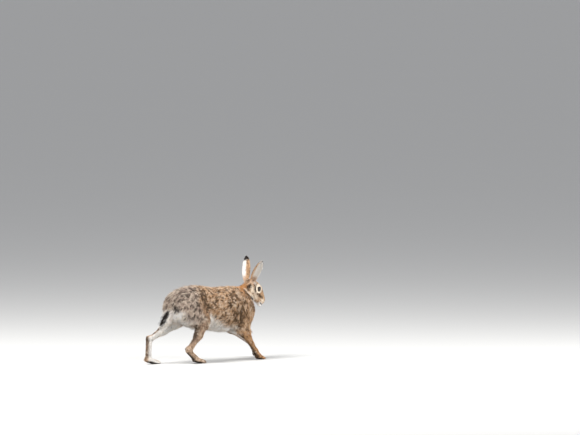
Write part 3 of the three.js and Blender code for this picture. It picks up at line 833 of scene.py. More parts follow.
def open_lids(points, head):
    """Opens the skin over each eye: seen from the ball's middle, the skin inside an almond of two
    angles is drawn under the ball, and its edge lies on the ball with the lid's thickness. Returns
    the points and how near each is to a lid's edge."""
    points = points.copy()
    rim = np.zeros(len(points))
    for side, sign in SIDES.items():
        centre, radius, outward = head.eyes[side], eye_radius(side), head.gaze[side]
        forward = unit(head.f - outward * dot(head.f, outward))
        downward = np.cross(outward, forward) * sign
        away = points - centre
        distance = np.linalg.norm(away, axis=1)
        ahead = np.arctan2(dot(away, forward), dot(away, outward))
        below = np.arctan2(dot(away, downward), dot(away, outward)) + LID_SLANT * ahead
        almond = np.sqrt((ahead / LID_LENGTH) ** 2 + (below / LID_HEIGHT) ** 2)
        near = distance < radius * LID_REACH
        lid = np.full(len(points), radius + LID_THICKNESS)
        under = radius - LID_TUCK
        outside = blend(lid, distance, step(*LID_FADE, almond))
        drawn = under + (outside - under) * step(*LID_EDGE, almond)
        target = np.where(almond < LID_EDGE[0], under, drawn)
        moved = centre + unit(away) * target[:, None]
        points = np.where((near & (almond < LID_FADE[1]))[:, None], moved, points)
        rim = np.maximum(rim, near * step(*LID_RIM, almond))
    return points, rim


def eye_radius(side):
    """Half the longest side of an eye's box."""
    low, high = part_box(f"eye_{side}")
    return max(high - low) / 2


def crease(points, normals, stops, width, depth):
    """Points pressed in along a bent line by depth exp(-(d/width)^2), and that mask."""
    mask = line_mask(points, stops, width)
    return points - normals * (mask * depth)[:, None], mask


def nose_tip(points, head, part):
    """The foremost point of the head, in the head's millimetres."""
    local = head.local(points)[part == PART_NUMBER["head"]]
    return local[local[:, 0].argmax()]


def shape_muzzle(points, normals, head, part):
    """Slit nostrils, the split upper lip and the mouth line, pressed into the muzzle, and a mask that is
    1 on them, by which they are darkened with painted shade, partly the dark bare skin there."""
    local = head.local(points)
    front, _, nose = nose_tip(points, head, part)
    cleft = (front - 2, 0, nose - 4)
    lip = (front - 4, 0, nose - 11)
    lines = [((front, 0, nose), cleft, lip)]
    for sign in (1, -1):
        nostril = (
            (front, 2 * sign, nose - 1),
            (front - 2, 4.5 * sign, nose + 1.5),
            (front - 5, 6.5 * sign, nose + 1),
        )
        mouth = (lip, (front - 8, 4 * sign, nose - 13), (front - 16, 8 * sign, nose - 13))
        lines += [nostril, mouth]
    dark = np.zeros(len(points))
    for line in lines:
        stops = [points[np.linalg.norm(local - np.array(spot), axis=1).argmin()] for spot in line]
        points, mask = crease(points, normals, stops, CREASE_WIDTH, CREASE_DEPTH)
        dark = np.maximum(dark, mask)
    return points, dark


class Socket:
    """A socket of a material's nodes. Python's operators on it add Math nodes."""

    def __init__(self, shader, socket):
        self.shader, self.socket = shader, socket

    def math(self, operation, first, second):
        """The socket of a new Math node."""
        return self.shader.node("Math", {"operation": operation}, {0: first, 1: second})

    def __add__(self, other):
        return self.math("ADD", self, other)

    def __rsub__(self, other):
        return self.math("SUBTRACT", other, self)

    def __mul__(self, other):
        return self.math("MULTIPLY", self, other)

    __radd__ = __add__
    __rmul__ = __mul__


class Shader:
    """A material whose nodes are added by one method."""

    def __init__(self, name):
        self.material = bpy.data.materials.new(name)
        self.material.use_nodes = True
        self.tree = self.material.node_tree
        self.surface = self.tree.nodes["Principled BSDF"]

    def node(self, kind, settings, values, output=0):
        """Adds a ShaderNode of that kind, with its settings first and then its sockets' values or
        links, and returns its output."""
        made = self.tree.nodes.new("ShaderNode" + kind)
        for setting, value in settings.items():
            setattr(made, setting, value)
        for socket, value in values.items():
            self.put(made.inputs[socket], value)
        return Socket(self, made.outputs[output])

    def put(self, target, value):
        """Links a socket or sets its value."""
        if isinstance(value, Socket):
            self.tree.links.new(value.socket, target)
        else:
            target.default_value = value

    def set(self, **values):
        """Sets the surface's sockets, named with _ for a space."""
        for name, value in values.items():
            self.put(self.surface.inputs[name.replace("_", " ")], value)

    def attribute(self, name, output="Color"):
        """An attribute of the mesh's points."""
        return self.node("Attribute", {"attribute_name": name}, {}, output)

    def noise(self, scale, detail=3.0, roughness=0.55, stretch=(1, 1, 1)):
        """Noise on the object's own coordinates."""
        place = self.node("TexCoord", {}, {}, "Object")
        turned = self.node("Mapping", {}, {"Vector": place, "Scale": stretch})
        values = {"Vector": turned, "Scale": scale, "Detail": detail, "Roughness": roughness}
        return self.node("TexNoise", {}, values)

    def mix(self, share, first, second):
        """A colour between two colours."""
        return self.node("Mix", {"data_type": "RGBA"}, {0: share, 6: first, 7: second}, 2)

    def parts(self, vector):
        """The three numbers of a vector."""
        first = self.node("SeparateXYZ", {}, {0: vector})
        return [Socket(self, output) for output in first.socket.node.outputs]

    def bump(self, height, strength, distance):
        """A normal bent by a height, whose range is the distance in metres."""
        return self.node("Bump", {}, {"Strength": strength, "Distance": distance, "Height": height})

    def ramp(self, value, low, high):
        """0 below low and 1 above high."""
        values = {"Value": value, "From Min": low, "From Max": high, "To Min": 0.0, "To Max": 1.0}
        return self.node("MapRange", {"interpolation_type": "SMOOTHSTEP"}, values)


def opaque(colour):
    """A colour with alpha 1."""
    return tuple(colour) + (1.0,)


def skin_material(colours):
    """Short hair seen as bump: the painted colour with dark and pale hairs as fine noise."""
    shader = Shader("hare_skin")
    base = shader.attribute("coat_colour")
    dark_share, pale_share, bare_and_crease_shade = shader.parts(shader.attribute("hair_shares", "Vector"))
    fine = shader.noise(620.0)
    coarse = shader.noise(150.0)
    mottle = fine * 0.65 + coarse * 0.35
    darkened = shader.ramp(mottle + dark_share * 0.34, 0.56, 0.66)
    other = shader.noise(540.0, stretch=(1.1, 1, 0.9))
    lightened = shader.ramp(other + pale_share * 0.2, 0.62, 0.72)
    with_dark = shader.mix(darkened * 0.75, base, opaque(colours.dark))
    with_pale = shader.mix(lightened * 0.6, with_dark, opaque(colours.cream))
    hairy = shader.mix(fine * 0.5, with_pale, shader.mix(0.35, with_pale, opaque(colours.dark)))
    # Bare dark skin in the lids' colour: on the lids' rims, and as painted shade in the muzzle's creases
    shader.set(
        Base_Color=shader.mix(bare_and_crease_shade, hairy, opaque(colours.lid)),
        Roughness=0.82 - bare_and_crease_shade * 0.4,
        Specular_IOR_Level=0.25,
        Normal=shader.bump(fine, 0.5, 0.0007),
    )
    return shader.material


def coat_material():
    """Hair: the colour of each tuft, from root to tip, with a fine variation."""
    shader = Shader("hare_coat")
    colour = shader.attribute("coat_colour")
    fine = shader.noise(900.0)
    settings = {"data_type": "RGBA", "blend_type": "MULTIPLY"}
    values = {0: fine * 0.3, 6: colour, 7: opaque((0.45, 0.4, 0.36))}
    shade = shader.node("Mix", settings, values, 2)
    shader.set(Base_Color=shade, Roughness=0.68, Specular_IOR_Level=0.3)
    return shader.material


def fused_flesh(head):
    """(points, triangles) of one closed skin round every solid, finer on the face."""
    shapes = []
    for name in FLESH + EYE_PARTS:
        points, triangles = node_arrays(name)
        swell = EAR_THICKENING if name in EAR_PARTS else GAP_CLOSING
        shapes.append((points + point_normals(points, triangles) * swell, triangles))
    return refined(remeshed(*joined(shapes)), head.place(*FACE_MIDDLE), FACE_REACH)


def smoothed(points, around, part):
    """The skin's points smoothed, less on the stiff parts."""
    stiff = around.smooth(per_part(lambda name: KIND[name] in STIFF_KINDS, part), ROUNDS["stiffness"])
    return around.smooth(points, ROUNDS["skin"], (SMOOTHING_SHARE * (1 - STIFFNESS * stiff))[:, None])


def under_coat(points, normals, around, part):
    """The skin's points drawn in by the coat's depth, and by less near the floor."""
    depth = around.smooth(coat_field(part, "depth") * MM + GAP_CLOSING, ROUNDS["depth"])
    share = SOLE_SHARE + (1 - SOLE_SHARE) * step(SOLE_LEVEL, SOLE_FADE, points[:, 2])
    return around.smooth(points - normals * (depth * share)[:, None], ROUNDS["last"])


def painted(points, normals, around, part, crease_shade, colours, head, ears):
    """The coat's markings at the skin's points."""
    masks = {
        name: around.smooth((part == number).astype(float), ROUNDS["markings"])
        for name, number in PART_NUMBER.items()
    }

    def weight(*names):
        """The smoothed mask of some parts, held within 0 to 1."""
        return np.clip(sum(masks[name] for name in names), 0, 1)

    paint = Paint(colours.back, len(points))
    paint_body(paint, points, normals, weight, colours)
    paint_legs(paint, points, normals, weight, colours)
    paint_tail(paint, points, normals, weight, colours)
    paint_head(paint, points, normals, weight, colours, head)
    paint_ears(paint, points, normals, weight, colours, ears)
    # Painted shade darkens the pressed-in nostrils, lip cleft and mouth line, partly the dark bare skin
    # there
    paint.stroke(step(0.2, 0.7, crease_shade), colours.dark, dark=0.9, pale=0.0)
    return paint


class HARE_OT_skin(bpy.types.Operator):
    """One skin over the whole animal, inside the outline by the coat's depth"""

    bl_idname = "hare.skin"
    bl_label = "Skin"

    def execute(self, context):
        colours = context.scene.hare_colours
        head = Head()
        ears = {side: Ear(side, head) for side in SIDES}
        points, triangles = fused_flesh(head)
        around = Neighbours(triangles, len(points))
        part = part_of_points(points)
        points = smoothed(points, around, part)
        lie = around.smooth(lie_of_coat(points, part, head, ears), ROUNDS["lie"])
        points = under_coat(points, point_normals(points, triangles), around, part)
        points, rim = open_lids(points, head)
        points, crease_shade = shape_muzzle(points, point_normals(points, triangles), head, part)
        points[:, 2] = np.maximum(points[:, 2], SKIN_LEVEL)
        normals = point_normals(points, triangles)
        lie = unit(lie - normals * dot(lie, normals)[:, None])
        paint = painted(points, normals, around, part, crease_shade, colours, head, ears)
        # Bare dark skin: the lids' rims, and the muzzle's creases, where the dark is partly painted
        # shade
        bare_and_crease_shade = np.clip(rim + crease_shade * 0.8, 0, 1)

        mesh = new_mesh("hare_skin", points, triangles)
        colour = np.column_stack([paint.colour, np.ones(len(points))])
        store(mesh, "coat_colour", "FLOAT_COLOR", colour)
        store(mesh, "hair_shares", "FLOAT_VECTOR", np.column_stack([paint.dark, paint.pale, bare_and_crease_shade]))
        store(mesh, "lie", "FLOAT_VECTOR", lie)
        store(mesh, "part", "INT", part)
        skin = new_piece("hare_skin", mesh, skin_material(colours))
        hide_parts(*FLESH)
        return {"FINISHED"}


def skin_arrays():
    """(mesh, points, triangles) of the finished skin."""
    mesh = bpy.data.objects["hare_skin"].data
    points, triangles = mesh_arrays(mesh)
    return mesh, points.astype(float), triangles


class Tufts:
    """What is known of each tuft: arrays under plain names, with a row for each one."""

    def __init__(self, **columns):
        self.__dict__.update(columns)

    def some(self, rows):
        """Only the tufts of those rows."""
        return Tufts(**{name: values[rows] for name, values in self.__dict__.items()})


def tuft_mesh(name, tufts, uv):
    """Three-sided tufts, all at once. Each has a ring of three points at its root, one at half its
    length and a tip. At the share t of its length L its middle line is
    root + L t cos(a) lie + ROOT_RISE L sin(a) (t - t^2 / 2) normal + t^2 lean,
    where a is its lift, so it rises from the skin and bends back to the body."""
    aside = np.cross(tufts.normal, tufts.lie)

    def path(share):
        """The middle line at a share of the length."""
        reach, climb = tufts.length * np.cos(tufts.lift), tufts.length * np.sin(tufts.lift)
        along = tufts.lie * (reach * share)[:, None]
        rise = tufts.normal * (climb * (share - share * share / 2) * ROOT_RISE)[:, None]
        return tufts.root + along + rise + tufts.lean * share * share

    def ring(share, swell):
        """The three points round the middle line."""
        across = aside[:, None, :] * np.cos(TUFT_TURN)[None, :, None]
        upward = tufts.normal[:, None, :] * np.sin(TUFT_TURN)[None, :, None] * TUFT_FLATNESS
        return path(share)[:, None, :] + (across + upward) * (tufts.width * swell / 2)[:, None, None]

    sunk = ring(0.0, ROOT_WIDTH) - tufts.normal[:, None, :] * ROOT_DEPTH
    points = np.concatenate([sunk, ring(0.5, 1.0), path(1.0)[:, None, :]], axis=1)
    lowest = (np.arange(points.shape[1]) * LEVEL_STEP + FIRST_LEVEL) * MM
    points[:, :, 2] = np.maximum(points[:, :, 2], lowest)
    faces = [(0, 2, 1)]
    for a, b in ((0, 1), (1, 2), (2, 0)):
        faces += [(a, b, b + 3), (a, b + 3, a + 3)]
    faces += [(3, 4, 6), (4, 5, 6), (5, 3, 6)]
    starts = np.arange(len(tufts.root)) * points.shape[1]
    triangles = (starts[:, None, None] + np.array(faces)[None]).reshape(-1, 3)
    mesh = new_mesh(name, points.reshape(-1, 3), triangles)
    store(mesh, "coat_colour", "FLOAT_COLOR", tufts.colour)
    along = np.array([0, 0, 0, 0.5, 0.5, 0.5, 1.0]) - 0.5
    across = np.append(np.tile(np.cos(TUFT_TURN), 2), 0.0) / 2
    patch = uv[:, None, :] + np.stack([along, across], axis=1)[None] * PATCH
    layer = mesh.uv_layers.new(name="OFBake")
    corners = patch.reshape(-1, 2)[triangles.ravel()]
    layer.data.foreach_set("uv", corners.astype(np.float32).ravel())
    return mesh


def unwrap(points, normals, part, names):
    """Where each root lies on an unwrap of the skin: each part is cut open along its length, so
    that u is the turn round its own long axis and v the way along it. An ear has two sheets, its
    back and its inside, each laid flat."""
    sheets = [(name, sheet) for name in names for sheet in range(2 if KIND[name] == "ear" else 1)]
    uv = np.zeros((len(points), 2))
    for column, (name, sheet) in enumerate(sheets):
        here = part == PART_NUMBER[name]
        if not here.any():
            continue
        centre = points[here].mean(axis=0)
        away = points[here] - centre
        sample = away[:: max(1, len(away) // UNWRAP_SAMPLES)]
        _, _, axes = np.linalg.svd(sample, full_matrices=False)
        along = dot(away, axes[0])
        if KIND[name] == "ear":
            around = (dot(away, axes[1]) / np.abs(dot(away, axes[1])).max() + 1) / 2
            chosen = (dot(normals[here], axes[2]) > 0) == bool(sheet)
        else:
            around = np.arctan2(dot(away, axes[1]), dot(away, axes[2])) / math.tau + 0.5
            chosen = np.ones(len(away), bool)
        rows = np.flatnonzero(here)[chosen]
        across = MAP_EDGE + around * (1 - 2 * MAP_EDGE)
        uv[rows, 0] = (column + across[chosen]) / len(sheets)
        v = (along - along.min()) / max(np.ptp(along), 1e-9)
        uv[rows, 1] = MAP_EDGE + v[chosen] * (1 - 2 * MAP_EDGE)
    return uv


def plant_roots(random, points, triangles, part, bare_and_crease_shade, fullness):
    """The tufts' roots: the number of each one's triangle, and the shares of its corners. There
    are so many on each triangle that their tufts lie over it in the table's layers. None grow on
    bare skin or under the soles."""
    corners = points[triangles]
    crosses = np.cross(corners[:, 1] - corners[:, 0], corners[:, 2] - corners[:, 0])
    area = np.linalg.norm(crosses, axis=1) / 2
    cover = coat_field(part, "length") * coat_field(part, "width") * MM * MM * TUFT_COVER
    wanted = area * coat_field(part, "layers") / cover * fullness
    wanted = wanted * (bare_and_crease_shade[triangles].mean(axis=1) < BARE_LIMIT)
    wanted = wanted * (corners[:, :, 2].mean(axis=1) > SOLE_LEVEL)
    number = np.floor(wanted + random.random(len(wanted))).astype(int)
    face = np.repeat(np.arange(len(triangles)), number)
    first, second = np.sqrt(random.random(len(face))), random.random(len(face))
    return face, np.stack([1 - first, first * (1 - second), first * second], axis=1)


def grow_tufts(random, sizes, colours):
    """Every tuft of the coat: where it grows on the skin, its lie, size, lift, lean and colour."""
    mesh, points, triangles = skin_arrays()
    shares = stored(mesh, "hair_shares")
    face_part = stored(mesh, "part")[triangles[:, 0]]
    face, bary = plant_roots(random, points, triangles, face_part, shares[:, 2], sizes.fullness)

    def at_root(values):
        """Values of the skin's points, at the roots."""
        return (values[triangles[face]] * bary[:, :, None]).sum(axis=1)

    root, normal = at_root(points), unit(at_root(point_normals(points, triangles)))
    part, count = face_part[face], len(face)
    lie = at_root(stored(mesh, "lie")) + random.normal(size=root.shape) * LIE_SPREAD
    lie = unit(lie - normal * dot(lie, normal)[:, None])
    short = muzzle_length(root, part)
    full_length, full_width = coat_field(part, "length"), coat_field(part, "width")
    length = full_length * MM * sizes.length * random.uniform(*LENGTH_RANGE, count) * short
    width = full_width * MM * random.uniform(*WIDTH_RANGE, count) * np.sqrt(short)
    lift = np.radians(coat_field(part, "lift") + random.normal(size=count) * LIFT_SPREAD)
    guard = (random.random(count) < GUARD_SHARE) & (full_length > GUARD_COAT)
    length = np.where(guard, length * GUARD_LENGTH, length)
    lift = np.where(guard, lift * GUARD_LIFT, lift)
    lean, clump = clump_lean(random, root, length, sizes.clumping)
    lean = lean - normal * dot(lean, normal)[:, None]
    base = at_root(stored(mesh, "coat_colour"))[:, :3]
    colour = hair_colours(random, root, clump, base, at_root(shares), colours)
    return Tufts(
        root=root,
        normal=normal,
        part=part,
        lie=lie,
        length=length,
        width=width,
        lift=lift,
        lean=lean,
        colour=colour,
    )


class HARE_OT_coat(bpy.types.Operator):
    """The coat, as tufts of solid mesh that follow the lie of the hair"""

    bl_idname = "hare.coat"
    bl_label = "Coat"

    def execute(self, context):
        sizes = context.scene.hare_sizes
        tufts = grow_tufts(np.random.default_rng(sizes.seed), sizes, context.scene.hare_colours)
        material = coat_material()
        for title, (names, lengths, slot) in COAT_PIECES.items():
            rows = np.flatnonzero(np.isin(tufts.part, [PART_NUMBER[name] for name in names]))
            rows = rows[np.argsort(tufts.root[rows, 0], kind="stable")]
            for number, cut in enumerate(np.array_split(rows, lengths), 1):
                own = tufts.some(cut)
                name = f"hare_coat_{title}" + (f"_{number}" if lengths > 1 else "")
                coat = tuft_mesh(name, own, unwrap(own.root, own.normal, own.part, names))
                new_piece(name, coat, material)
        return {"FINISHED"}


def muzzle_length(roots, part):
    """How long the tufts are, as a share: short on the muzzle and round the eyes, growing to the
    cheeks and the nape, and full off the head."""
    head = Head()
    local = head.local(roots)
    share = MUZZLE_SHARE + NAPE_GAIN * step(*MUZZLE_TO_NAPE, local[:, 0])
    for side in SIDES:
        away = np.linalg.norm(roots - head.eyes[side], axis=1) / MM
        share = share * (EYE_SHARE + (1 - EYE_SHARE) * step(*EYE_DISTANCES, away))
    return np.where(part == PART_NUMBER["head"], share, 1.0)


def clump_lean(random, roots, lengths, clumping):
    """How far each tip leans to the middle of its clump, and the clump's number. A clump's middle is
    one of the roots, one in so many, and its tufts lean to it by a share of the way."""
    chosen = random.permutation(len(roots))[: len(roots) // CLUMP_SIZE]
    clump = nearest(roots[chosen], roots)
    pull = roots[chosen][clump] - roots
    reach = np.linalg.norm(pull, axis=1)
    limit = np.minimum(1.0, lengths * CLUMP_LEAN / np.maximum(reach, 1e-9))
    return pull * (limit * clumping)[:, None], clump


def hair_colours(random, roots, clump, base, shares, colours):
    """The colours of each tuft's seven points: a darker underfur at the root, then one of three
    hairs: dark, pale or the base colour, chosen by the shares. A draw for each tuft, one for its
    clump and a slow noise decide together, ranked so that every share is met."""
    count = len(roots)
    of_tuft, of_clump, of_place = DRAW_WEIGHTS
    slow = lattice_noise(roots, SLOW_SIZE, SLOW_SEED)
    mixed = random.random(count) * of_tuft + random.random(clump.max() + 1)[clump] * of_clump
    rank = np.argsort(np.argsort(mixed + slow * of_place)) / count
    is_dark = rank < shares[:, 0]
    is_pale = rank > 1 - shares[:, 1]
    tip = base * random.uniform(*BASE_RANGE, count)[:, None]
    dark = np.array(colours.dark) * random.uniform(*DARK_RANGE, count)[:, None]
    pale = np.array(colours.cream) * random.uniform(*PALE_RANGE, count)[:, None]
    tip = np.where(is_dark[:, None], dark, np.where(is_pale[:, None], pale, tip))
    band = blend(base, tip, np.where(is_dark, 0.7, 0.5))
    root = base * UNDERFUR_SHARE
    line = np.clip(np.stack([root] * 3 + [band] * 3 + [tip], axis=1), 0, 1)
    return np.concatenate([line, np.ones(line.shape[:2] + (1,))], axis=2)


def grid_triangles(rows, columns):
    """The triangles of a grid of points, rows by columns, closed round."""
    row, column = np.meshgrid(np.arange(rows - 1), np.arange(columns), indexing="ij")
    after = (column + 1) % columns
    a, b = row * columns + column, row * columns + after
    c, d = (row + 1) * columns + after, (row + 1) * columns + column
    halves = [np.stack(corners, -1).reshape(-1, 3) for corners in ((a, b, c), (a, c, d))]
    return np.concatenate(halves)


def share_and_turn(last, rows, columns):
    """Two grids: one runs from 0 to last over the rows, the other once round over the columns."""
    down = np.linspace(0, last, rows)[:, None] * np.ones(columns)[None]
    turn = np.ones(rows)[:, None] * np.linspace(0, math.tau, columns, endpoint=False)[None]
    return down, turn


def eye_surface(centre, radius, outward, upward):
    """A ball with a cornea: at the angle p from its axis the radius is R (1 + rise (1 - (p/c)^2)^2)
    inside the cornea's angle c. Returns its points, its triangles and p at each point."""
    angle, turn = share_and_turn(math.pi, 48, 64)
    rise = CORNEA_RISE * np.clip(1 - (angle / CORNEA_ANGLE) ** 2, 0, 1) ** 2
    forward = np.cross(upward, outward)
    ways = (
        outward * np.cos(angle)[..., None]
        + forward * (np.sin(angle) * np.cos(turn))[..., None]
        + upward * (np.sin(angle) * np.sin(turn))[..., None]
    )
    ball = centre + ways * (radius * (1 + rise))[..., None]
    return closed_rows(ball, angle)


def closed_rows(surface, values):
    """(points, triangles, values) of a grid closed round, whose first and last rows are each one
    point."""
    rows, columns = surface.shape[:2]
    points = np.concatenate([surface[:1, 0], surface[1:-1].reshape(-1, 3), surface[-1:, 0]])
    flat = np.concatenate([values[:1, 0], values[1:-1].ravel(), values[-1:, 0]])
    middle = grid_triangles(rows - 2, columns) + 1
    ring = np.arange(columns)
    after = (ring + 1) % columns
    top = np.stack([np.zeros(columns, int), 1 + after, 1 + ring], axis=1)
    last = 1 + (rows - 3) * columns
    end = np.full(columns, len(points) - 1)
    bottom = np.stack([end, last + ring, last + after], axis=1)
    return points, np.concatenate([top, middle, bottom]), flat


def facing_out(points, triangles):
    """The triangles, turned round if they enclose a negative volume."""
    first, second, third = (points[triangles[:, corner]] for corner in range(3))
    volume = dot(first, np.cross(second, third)).sum()
    return triangles if volume > 0 else triangles[:, ::-1]


def eye_material(colours):
    """A wet eye: black pupil, amber iris with spokes, dark ring at its edge, under a clear coat."""
    shader = Shader("hare_eye")
    angle = shader.attribute("angle", "Fac")
    spokes = shader.noise(900.0, detail=4.0)
    iris = shader.mix(spokes, opaque(colours.iris), opaque(share * 0.45 for share in colours.iris))
    edge = shader.ramp(angle, PUPIL_ANGLE, PUPIL_ANGLE * 1.12)
    rim = shader.ramp(angle, IRIS_ANGLE * 0.86, IRIS_ANGLE)
    inner = shader.mix(edge, opaque(colours.black), iris)
    shader.set(
        Base_Color=shader.mix(rim, inner, opaque(colours.black)),
        Roughness=0.2,
        Coat_Weight=0.6,
        Coat_Roughness=0.02,
        Specular_IOR_Level=0.2,
    )
    return shader.material


class HARE_OT_eyes(bpy.types.Operator):
    """Both eyes, with cornea, iris and pupil"""

    bl_idname = "hare.eyes"
    bl_label = "Eyes"

    def execute(self, context):
        head = Head()
        material = eye_material(context.scene.hare_colours)
        for side in SIDES:
            centre, outward = head.eyes[side], head.gaze[side]
            upward = unit(head.t - outward * dot(head.t, outward))
            points, triangles, angle = eye_surface(centre, eye_radius(side), outward, upward)
            mesh = new_mesh(f"hare_eye_{side}", points, facing_out(points - centre, triangles))
            store(mesh, "angle", "FLOAT", angle)
            eye = new_piece(f"hare_eye_{side}", mesh, material)
            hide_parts(f"eye_{side}")
        return {"FINISHED"}


def horn_surface(tip, way, length, width, rows=10, columns=8):
    """A curved cone: a ring of radius w (1 - t)^0.7 carried along a line that droops by t^2."""
    share, turn = share_and_turn(1, rows, columns)
    aside = unit(np.cross(way, np.array([0, 0, 1.0])))
    up = np.cross(aside, way)
    radius = width * (1 - share) ** 0.7
    along = way * (length * (share - 1))[..., None]
    droop = up * (length * 0.18 * (share**2 - 1))[..., None]
    line = tip + along - droop
    ring = aside * np.cos(turn)[..., None] * 0.8 + up * np.sin(turn)[..., None]
    surface = line + ring * radius[..., None]
    surface[0] = line[0]
    return closed_rows(surface, share)


def claw_tips(node):
    """The foremost points of a foot, one for each toe, no two nearer in y than the toes are."""
    apart = TOE_GAP["hind" if "hind" in node else "fore"]
    points, _ = node_arrays(node)
    points = points[np.argsort(-points[:, 0])]
    points = points[points[:, 2] < CLAW_HEIGHT]
    tips = []
    for point in points:
        if all(abs(point[1] - tip[1]) > apart for tip in tips):
            tips.append(point)
        if len(tips) == TOES:
            break
    return tips


class HARE_OT_claws(bpy.types.Operator):
    """Four dark claws on each foot, out of the fur of the toes"""

    bl_idname = "hare.claws"
    bl_label = "Claws"

    def execute(self, context):
        sizes, colours = context.scene.hare_sizes, context.scene.hare_colours
        shader = Shader("hare_horn")
        grain = shader.noise(700.0, stretch=(0.2, 1, 1))
        shadow = opaque(share * 0.4 for share in colours.horn)
        shader.set(
            Base_Color=shader.mix(grain, opaque(colours.horn), shadow),
            Roughness=0.45,
            Normal=shader.bump(grain, 0.2, 0.0003),
        )
        way = unit(np.array(CLAW_WAY))
        for foot in FOOT_PARTS:
            shapes = []
            for tip in claw_tips(foot):
                start = tip - way * CLAW_SINK
                points, triangles, _ = horn_surface(start, way, sizes.claw, CLAW_WIDTH)
                points[:, 2] = np.maximum(points[:, 2], CLAW_LEVEL)
                shapes.append((points, facing_out(points - points.mean(axis=0), triangles)))
            mesh = new_mesh(f"hare_claws_{foot}", *joined(shapes))
            new_piece(f"hare_claws_{foot}", mesh, shader.material)
        return {"FINISHED"}


def whisker_surface(root, way, droop, length, width, rows=9, columns=3):
    """A tapered hair: a small ring carried along root + L (t way + t^2 droop), ending in a point."""
    share, turn = share_and_turn(1, rows, columns)
    aside = unit(np.cross(way, np.array([0.3, 0.2, 0.9])))
    up = np.cross(aside, way)
    line = root + way * (length * share)[..., None] + droop * (length * share**2)[..., None]
    ring = aside * np.cos(turn)[..., None] + up * np.sin(turn)[..., None]
    surface = line + ring * (width * (1 - share**1.5) / 2)[..., None]
    surface[0] = line[0]
    return closed_rows(surface, share)


def whisker_places(tip, sign):
    """(forward, aside, up, share of the full length) of one side's whiskers, in the head's
    millimetres: rows and lines on the pad behind the nose's tip, then some over the eye."""
    pad = [
        (tip[0] - 7 - 3.2 * row, (7 + 1.2 * row) * sign, tip[2] - 3 - 2.6 * line, 1.0)
        for line in range(PAD_LINES)
        for row in range(PAD_ROWS)
    ]
    brow = [(2 + 3 * row, 17 * sign, 9, BROW_SHARE) for row in range(BROW_ROWS)]
    return pad + brow


class HARE_OT_whiskers(bpy.types.Operator):
    """Whiskers of the muzzle and over the eyes"""

    bl_idname = "hare.whiskers"
    bl_label = "Whiskers"

    def execute(self, context):
        sizes, colours = context.scene.hare_sizes, context.scene.hare_colours
        head = Head()
        skin, points, _ = skin_arrays()
        local = head.local(points)
        tip = nose_tip(points, head, stored(skin, "part"))
        random = np.random.default_rng(sizes.seed + 1)
        droop = -head.f * 0.15 - head.t * 0.18
        shapes = []
        for sign in SIDES.values():
            for forward, aside, up, share in whisker_places(tip, sign):
                away = np.linalg.norm(local - np.array([forward, aside, up]), axis=1)
                root = points[away.argmin()]
                fan = random.normal(size=2) * WHISKER_FAN
                fall = 0.1 + fan[1] - (share < 1) * 0.7
                way = unit(head.l * sign * 0.8 - head.f * (0.25 + fan[0]) - head.t * fall)
                length = sizes.whisker * share * random.uniform(0.55, 1.0)
                hair, triangles, _ = whisker_surface(root, way, droop, length, WHISKER_WIDTH)
                shapes.append((hair, facing_out(hair - hair.mean(axis=0), triangles)))
        shader = Shader("hare_whisker")
        tone = shader.noise(60.0)
        colour = shader.mix(tone, opaque(colours.cream), opaque(colours.dark))
        shader.set(Base_Color=colour, Roughness=0.4)
        mesh = new_mesh("hare_whiskers", *joined(shapes))
        new_piece("hare_whiskers", mesh, shader.material)
        return {"FINISHED"}


def view_axes():
    """(back, right, up): from the hare to the camera, and the picture's axes."""
    cos_up, sin_up = math.cos(VIEW_ELEVATION), math.sin(VIEW_ELEVATION)
    back = np.array([math.sin(VIEW_AZIMUTH) * cos_up, -math.cos(VIEW_AZIMUTH) * cos_up, sin_up])
    right = unit(np.cross(np.array([0, 0, 1.0]), back))
    return back, right, np.cross(back, right)


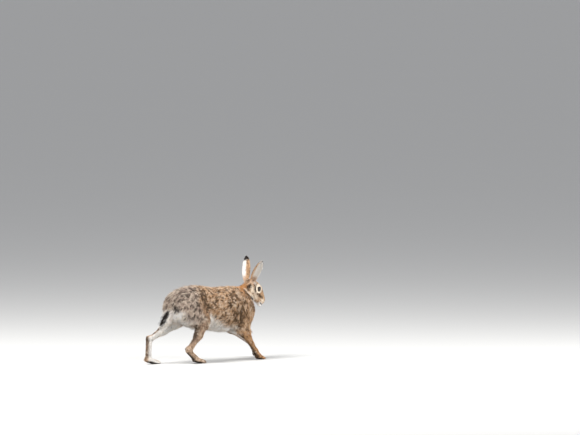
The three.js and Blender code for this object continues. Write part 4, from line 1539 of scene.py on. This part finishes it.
class HARE_OT_stage(bpy.types.Operator):
    """Pale floor, soft studio light and the photograph's camera"""

    bl_idname = "hare.stage"
    bl_label = "Stage"

    def execute(self, context):
        scene = context.scene
        self.lay_floor(scene)
        self.set_lights(scene)
        self.set_camera(scene)
        return {"FINISHED"}

    @staticmethod
    def lay_floor(scene):
        """A flat floor, much wider than the picture."""
        half = FLOOR_HALF
        points = np.array([(-half, -half, 0), (half, -half, 0), (half, half, 0), (-half, half, 0)])
        mesh = new_mesh("floor", points, np.array([(0, 1, 2), (0, 2, 3)]), smooth=False)
        shader = Shader("studio_floor")
        shade = shader.noise(0.8, detail=2.0)
        pale = opaque(scene.hare_colours.floor)
        shader.set(Base_Color=shader.mix(shade * 0.06, pale, (0.6, 0.6, 0.6, 1.0)), Roughness=0.8)
        mesh.materials.append(shader.material)
        floor = bpy.data.objects.new("floor", mesh)
        scene.collection.objects.link(floor)

    @staticmethod
    def set_lights(scene):
        """A large key light from above and behind the camera's left shoulder, a fill, and a sky."""
        back, right, _ = view_axes()
        up = np.array([0, 0, 1.0])
        for name, ((behind, aside, above), width) in LIGHTS.items():
            place = Vector(back * behind + right * aside + up * above)
            lamp = bpy.data.lights.new(name, "AREA")
            lamp.energy = getattr(scene.hare_stage, name)
            lamp.shape = "DISK"
            lamp.size = width
            light = bpy.data.objects.new(name, lamp)
            light.location = place
            light.rotation_mode = "QUATERNION"
            light.rotation_quaternion = (Vector(BODY_MIDDLE) - place).to_track_quat("-Z", "Y")
            scene.collection.objects.link(light)
        world = bpy.data.worlds.new("sky")
        world.use_nodes = True
        background = world.node_tree.nodes["Background"]
        background.inputs["Color"].default_value = SKY_COLOUR
        background.inputs["Strength"].default_value = scene.hare_stage.sky
        scene.world = world
        scene.view_settings.view_transform = "Standard"

    @staticmethod
    def set_camera(scene):
        """A long lens, aimed so that the eyes fall on the pixel where the photograph has them."""
        back, right, up = view_axes()
        across = (PHOTO_WIDTH / 2 - EYES_PIXEL[0]) * MM_PER_PIXEL * MM
        above = (EYES_PIXEL[1] - PHOTO_HEIGHT / 2) * MM_PER_PIXEL * MM
        target = Head().origin + right * across + up * above
        data = bpy.data.cameras.new("camera")
        data.sensor_width = SENSOR_WIDTH
        data.lens = SENSOR_WIDTH * CAMERA_DISTANCE / (PHOTO_WIDTH * MM_PER_PIXEL * MM)
        data.clip_end = FAR_CLIP
        camera = bpy.data.objects.new("camera", data)
        camera.location = Vector(target + back * CAMERA_DISTANCE)
        camera.rotation_mode = "QUATERNION"
        camera.rotation_quaternion = Vector(-back).to_track_quat("-Z", "Y")
        scene.collection.objects.link(camera)
        scene.camera = camera


class HARE_PT_panel(bpy.types.Panel):
    """The hare's pieces and what a user may change"""

    bl_idname = "HARE_PT_panel"
    bl_label = "Hare"
    bl_space_type = "VIEW_3D"
    bl_region_type = "UI"
    bl_category = "Hare"

    def draw(self, context):
        for group in (getattr(context.scene, name) for name in GROUPS):
            for name in group.__annotations__:
                self.layout.prop(group, name)
        for operator in OPERATORS:
            self.layout.operator(operator.bl_idname)


GROUPS = {"hare_colours": HareColours, "hare_sizes": HareSizes, "hare_stage": HareStage}
OPERATORS = (HARE_OT_skin, HARE_OT_coat, HARE_OT_eyes, HARE_OT_claws, HARE_OT_whiskers, HARE_OT_stage)


def register():
    for made in (*GROUPS.values(), *OPERATORS, HARE_PT_panel):
        bpy.utils.register_class(made)
    for name, group in GROUPS.items():
        setattr(bpy.types.Scene, name, bpy.props.PointerProperty(type=group))


def unregister():
    for name in GROUPS:
        delattr(bpy.types.Scene, name)
    for made in (HARE_PT_panel, *OPERATORS, *GROUPS.values()):
        bpy.utils.unregister_class(made)


def main():
    """Makes every piece."""
    register()
    for operator in OPERATORS:
        group, name = operator.bl_idname.split(".")
        getattr(getattr(bpy.ops, group), name)()


if __name__ == "__main__":
    main()
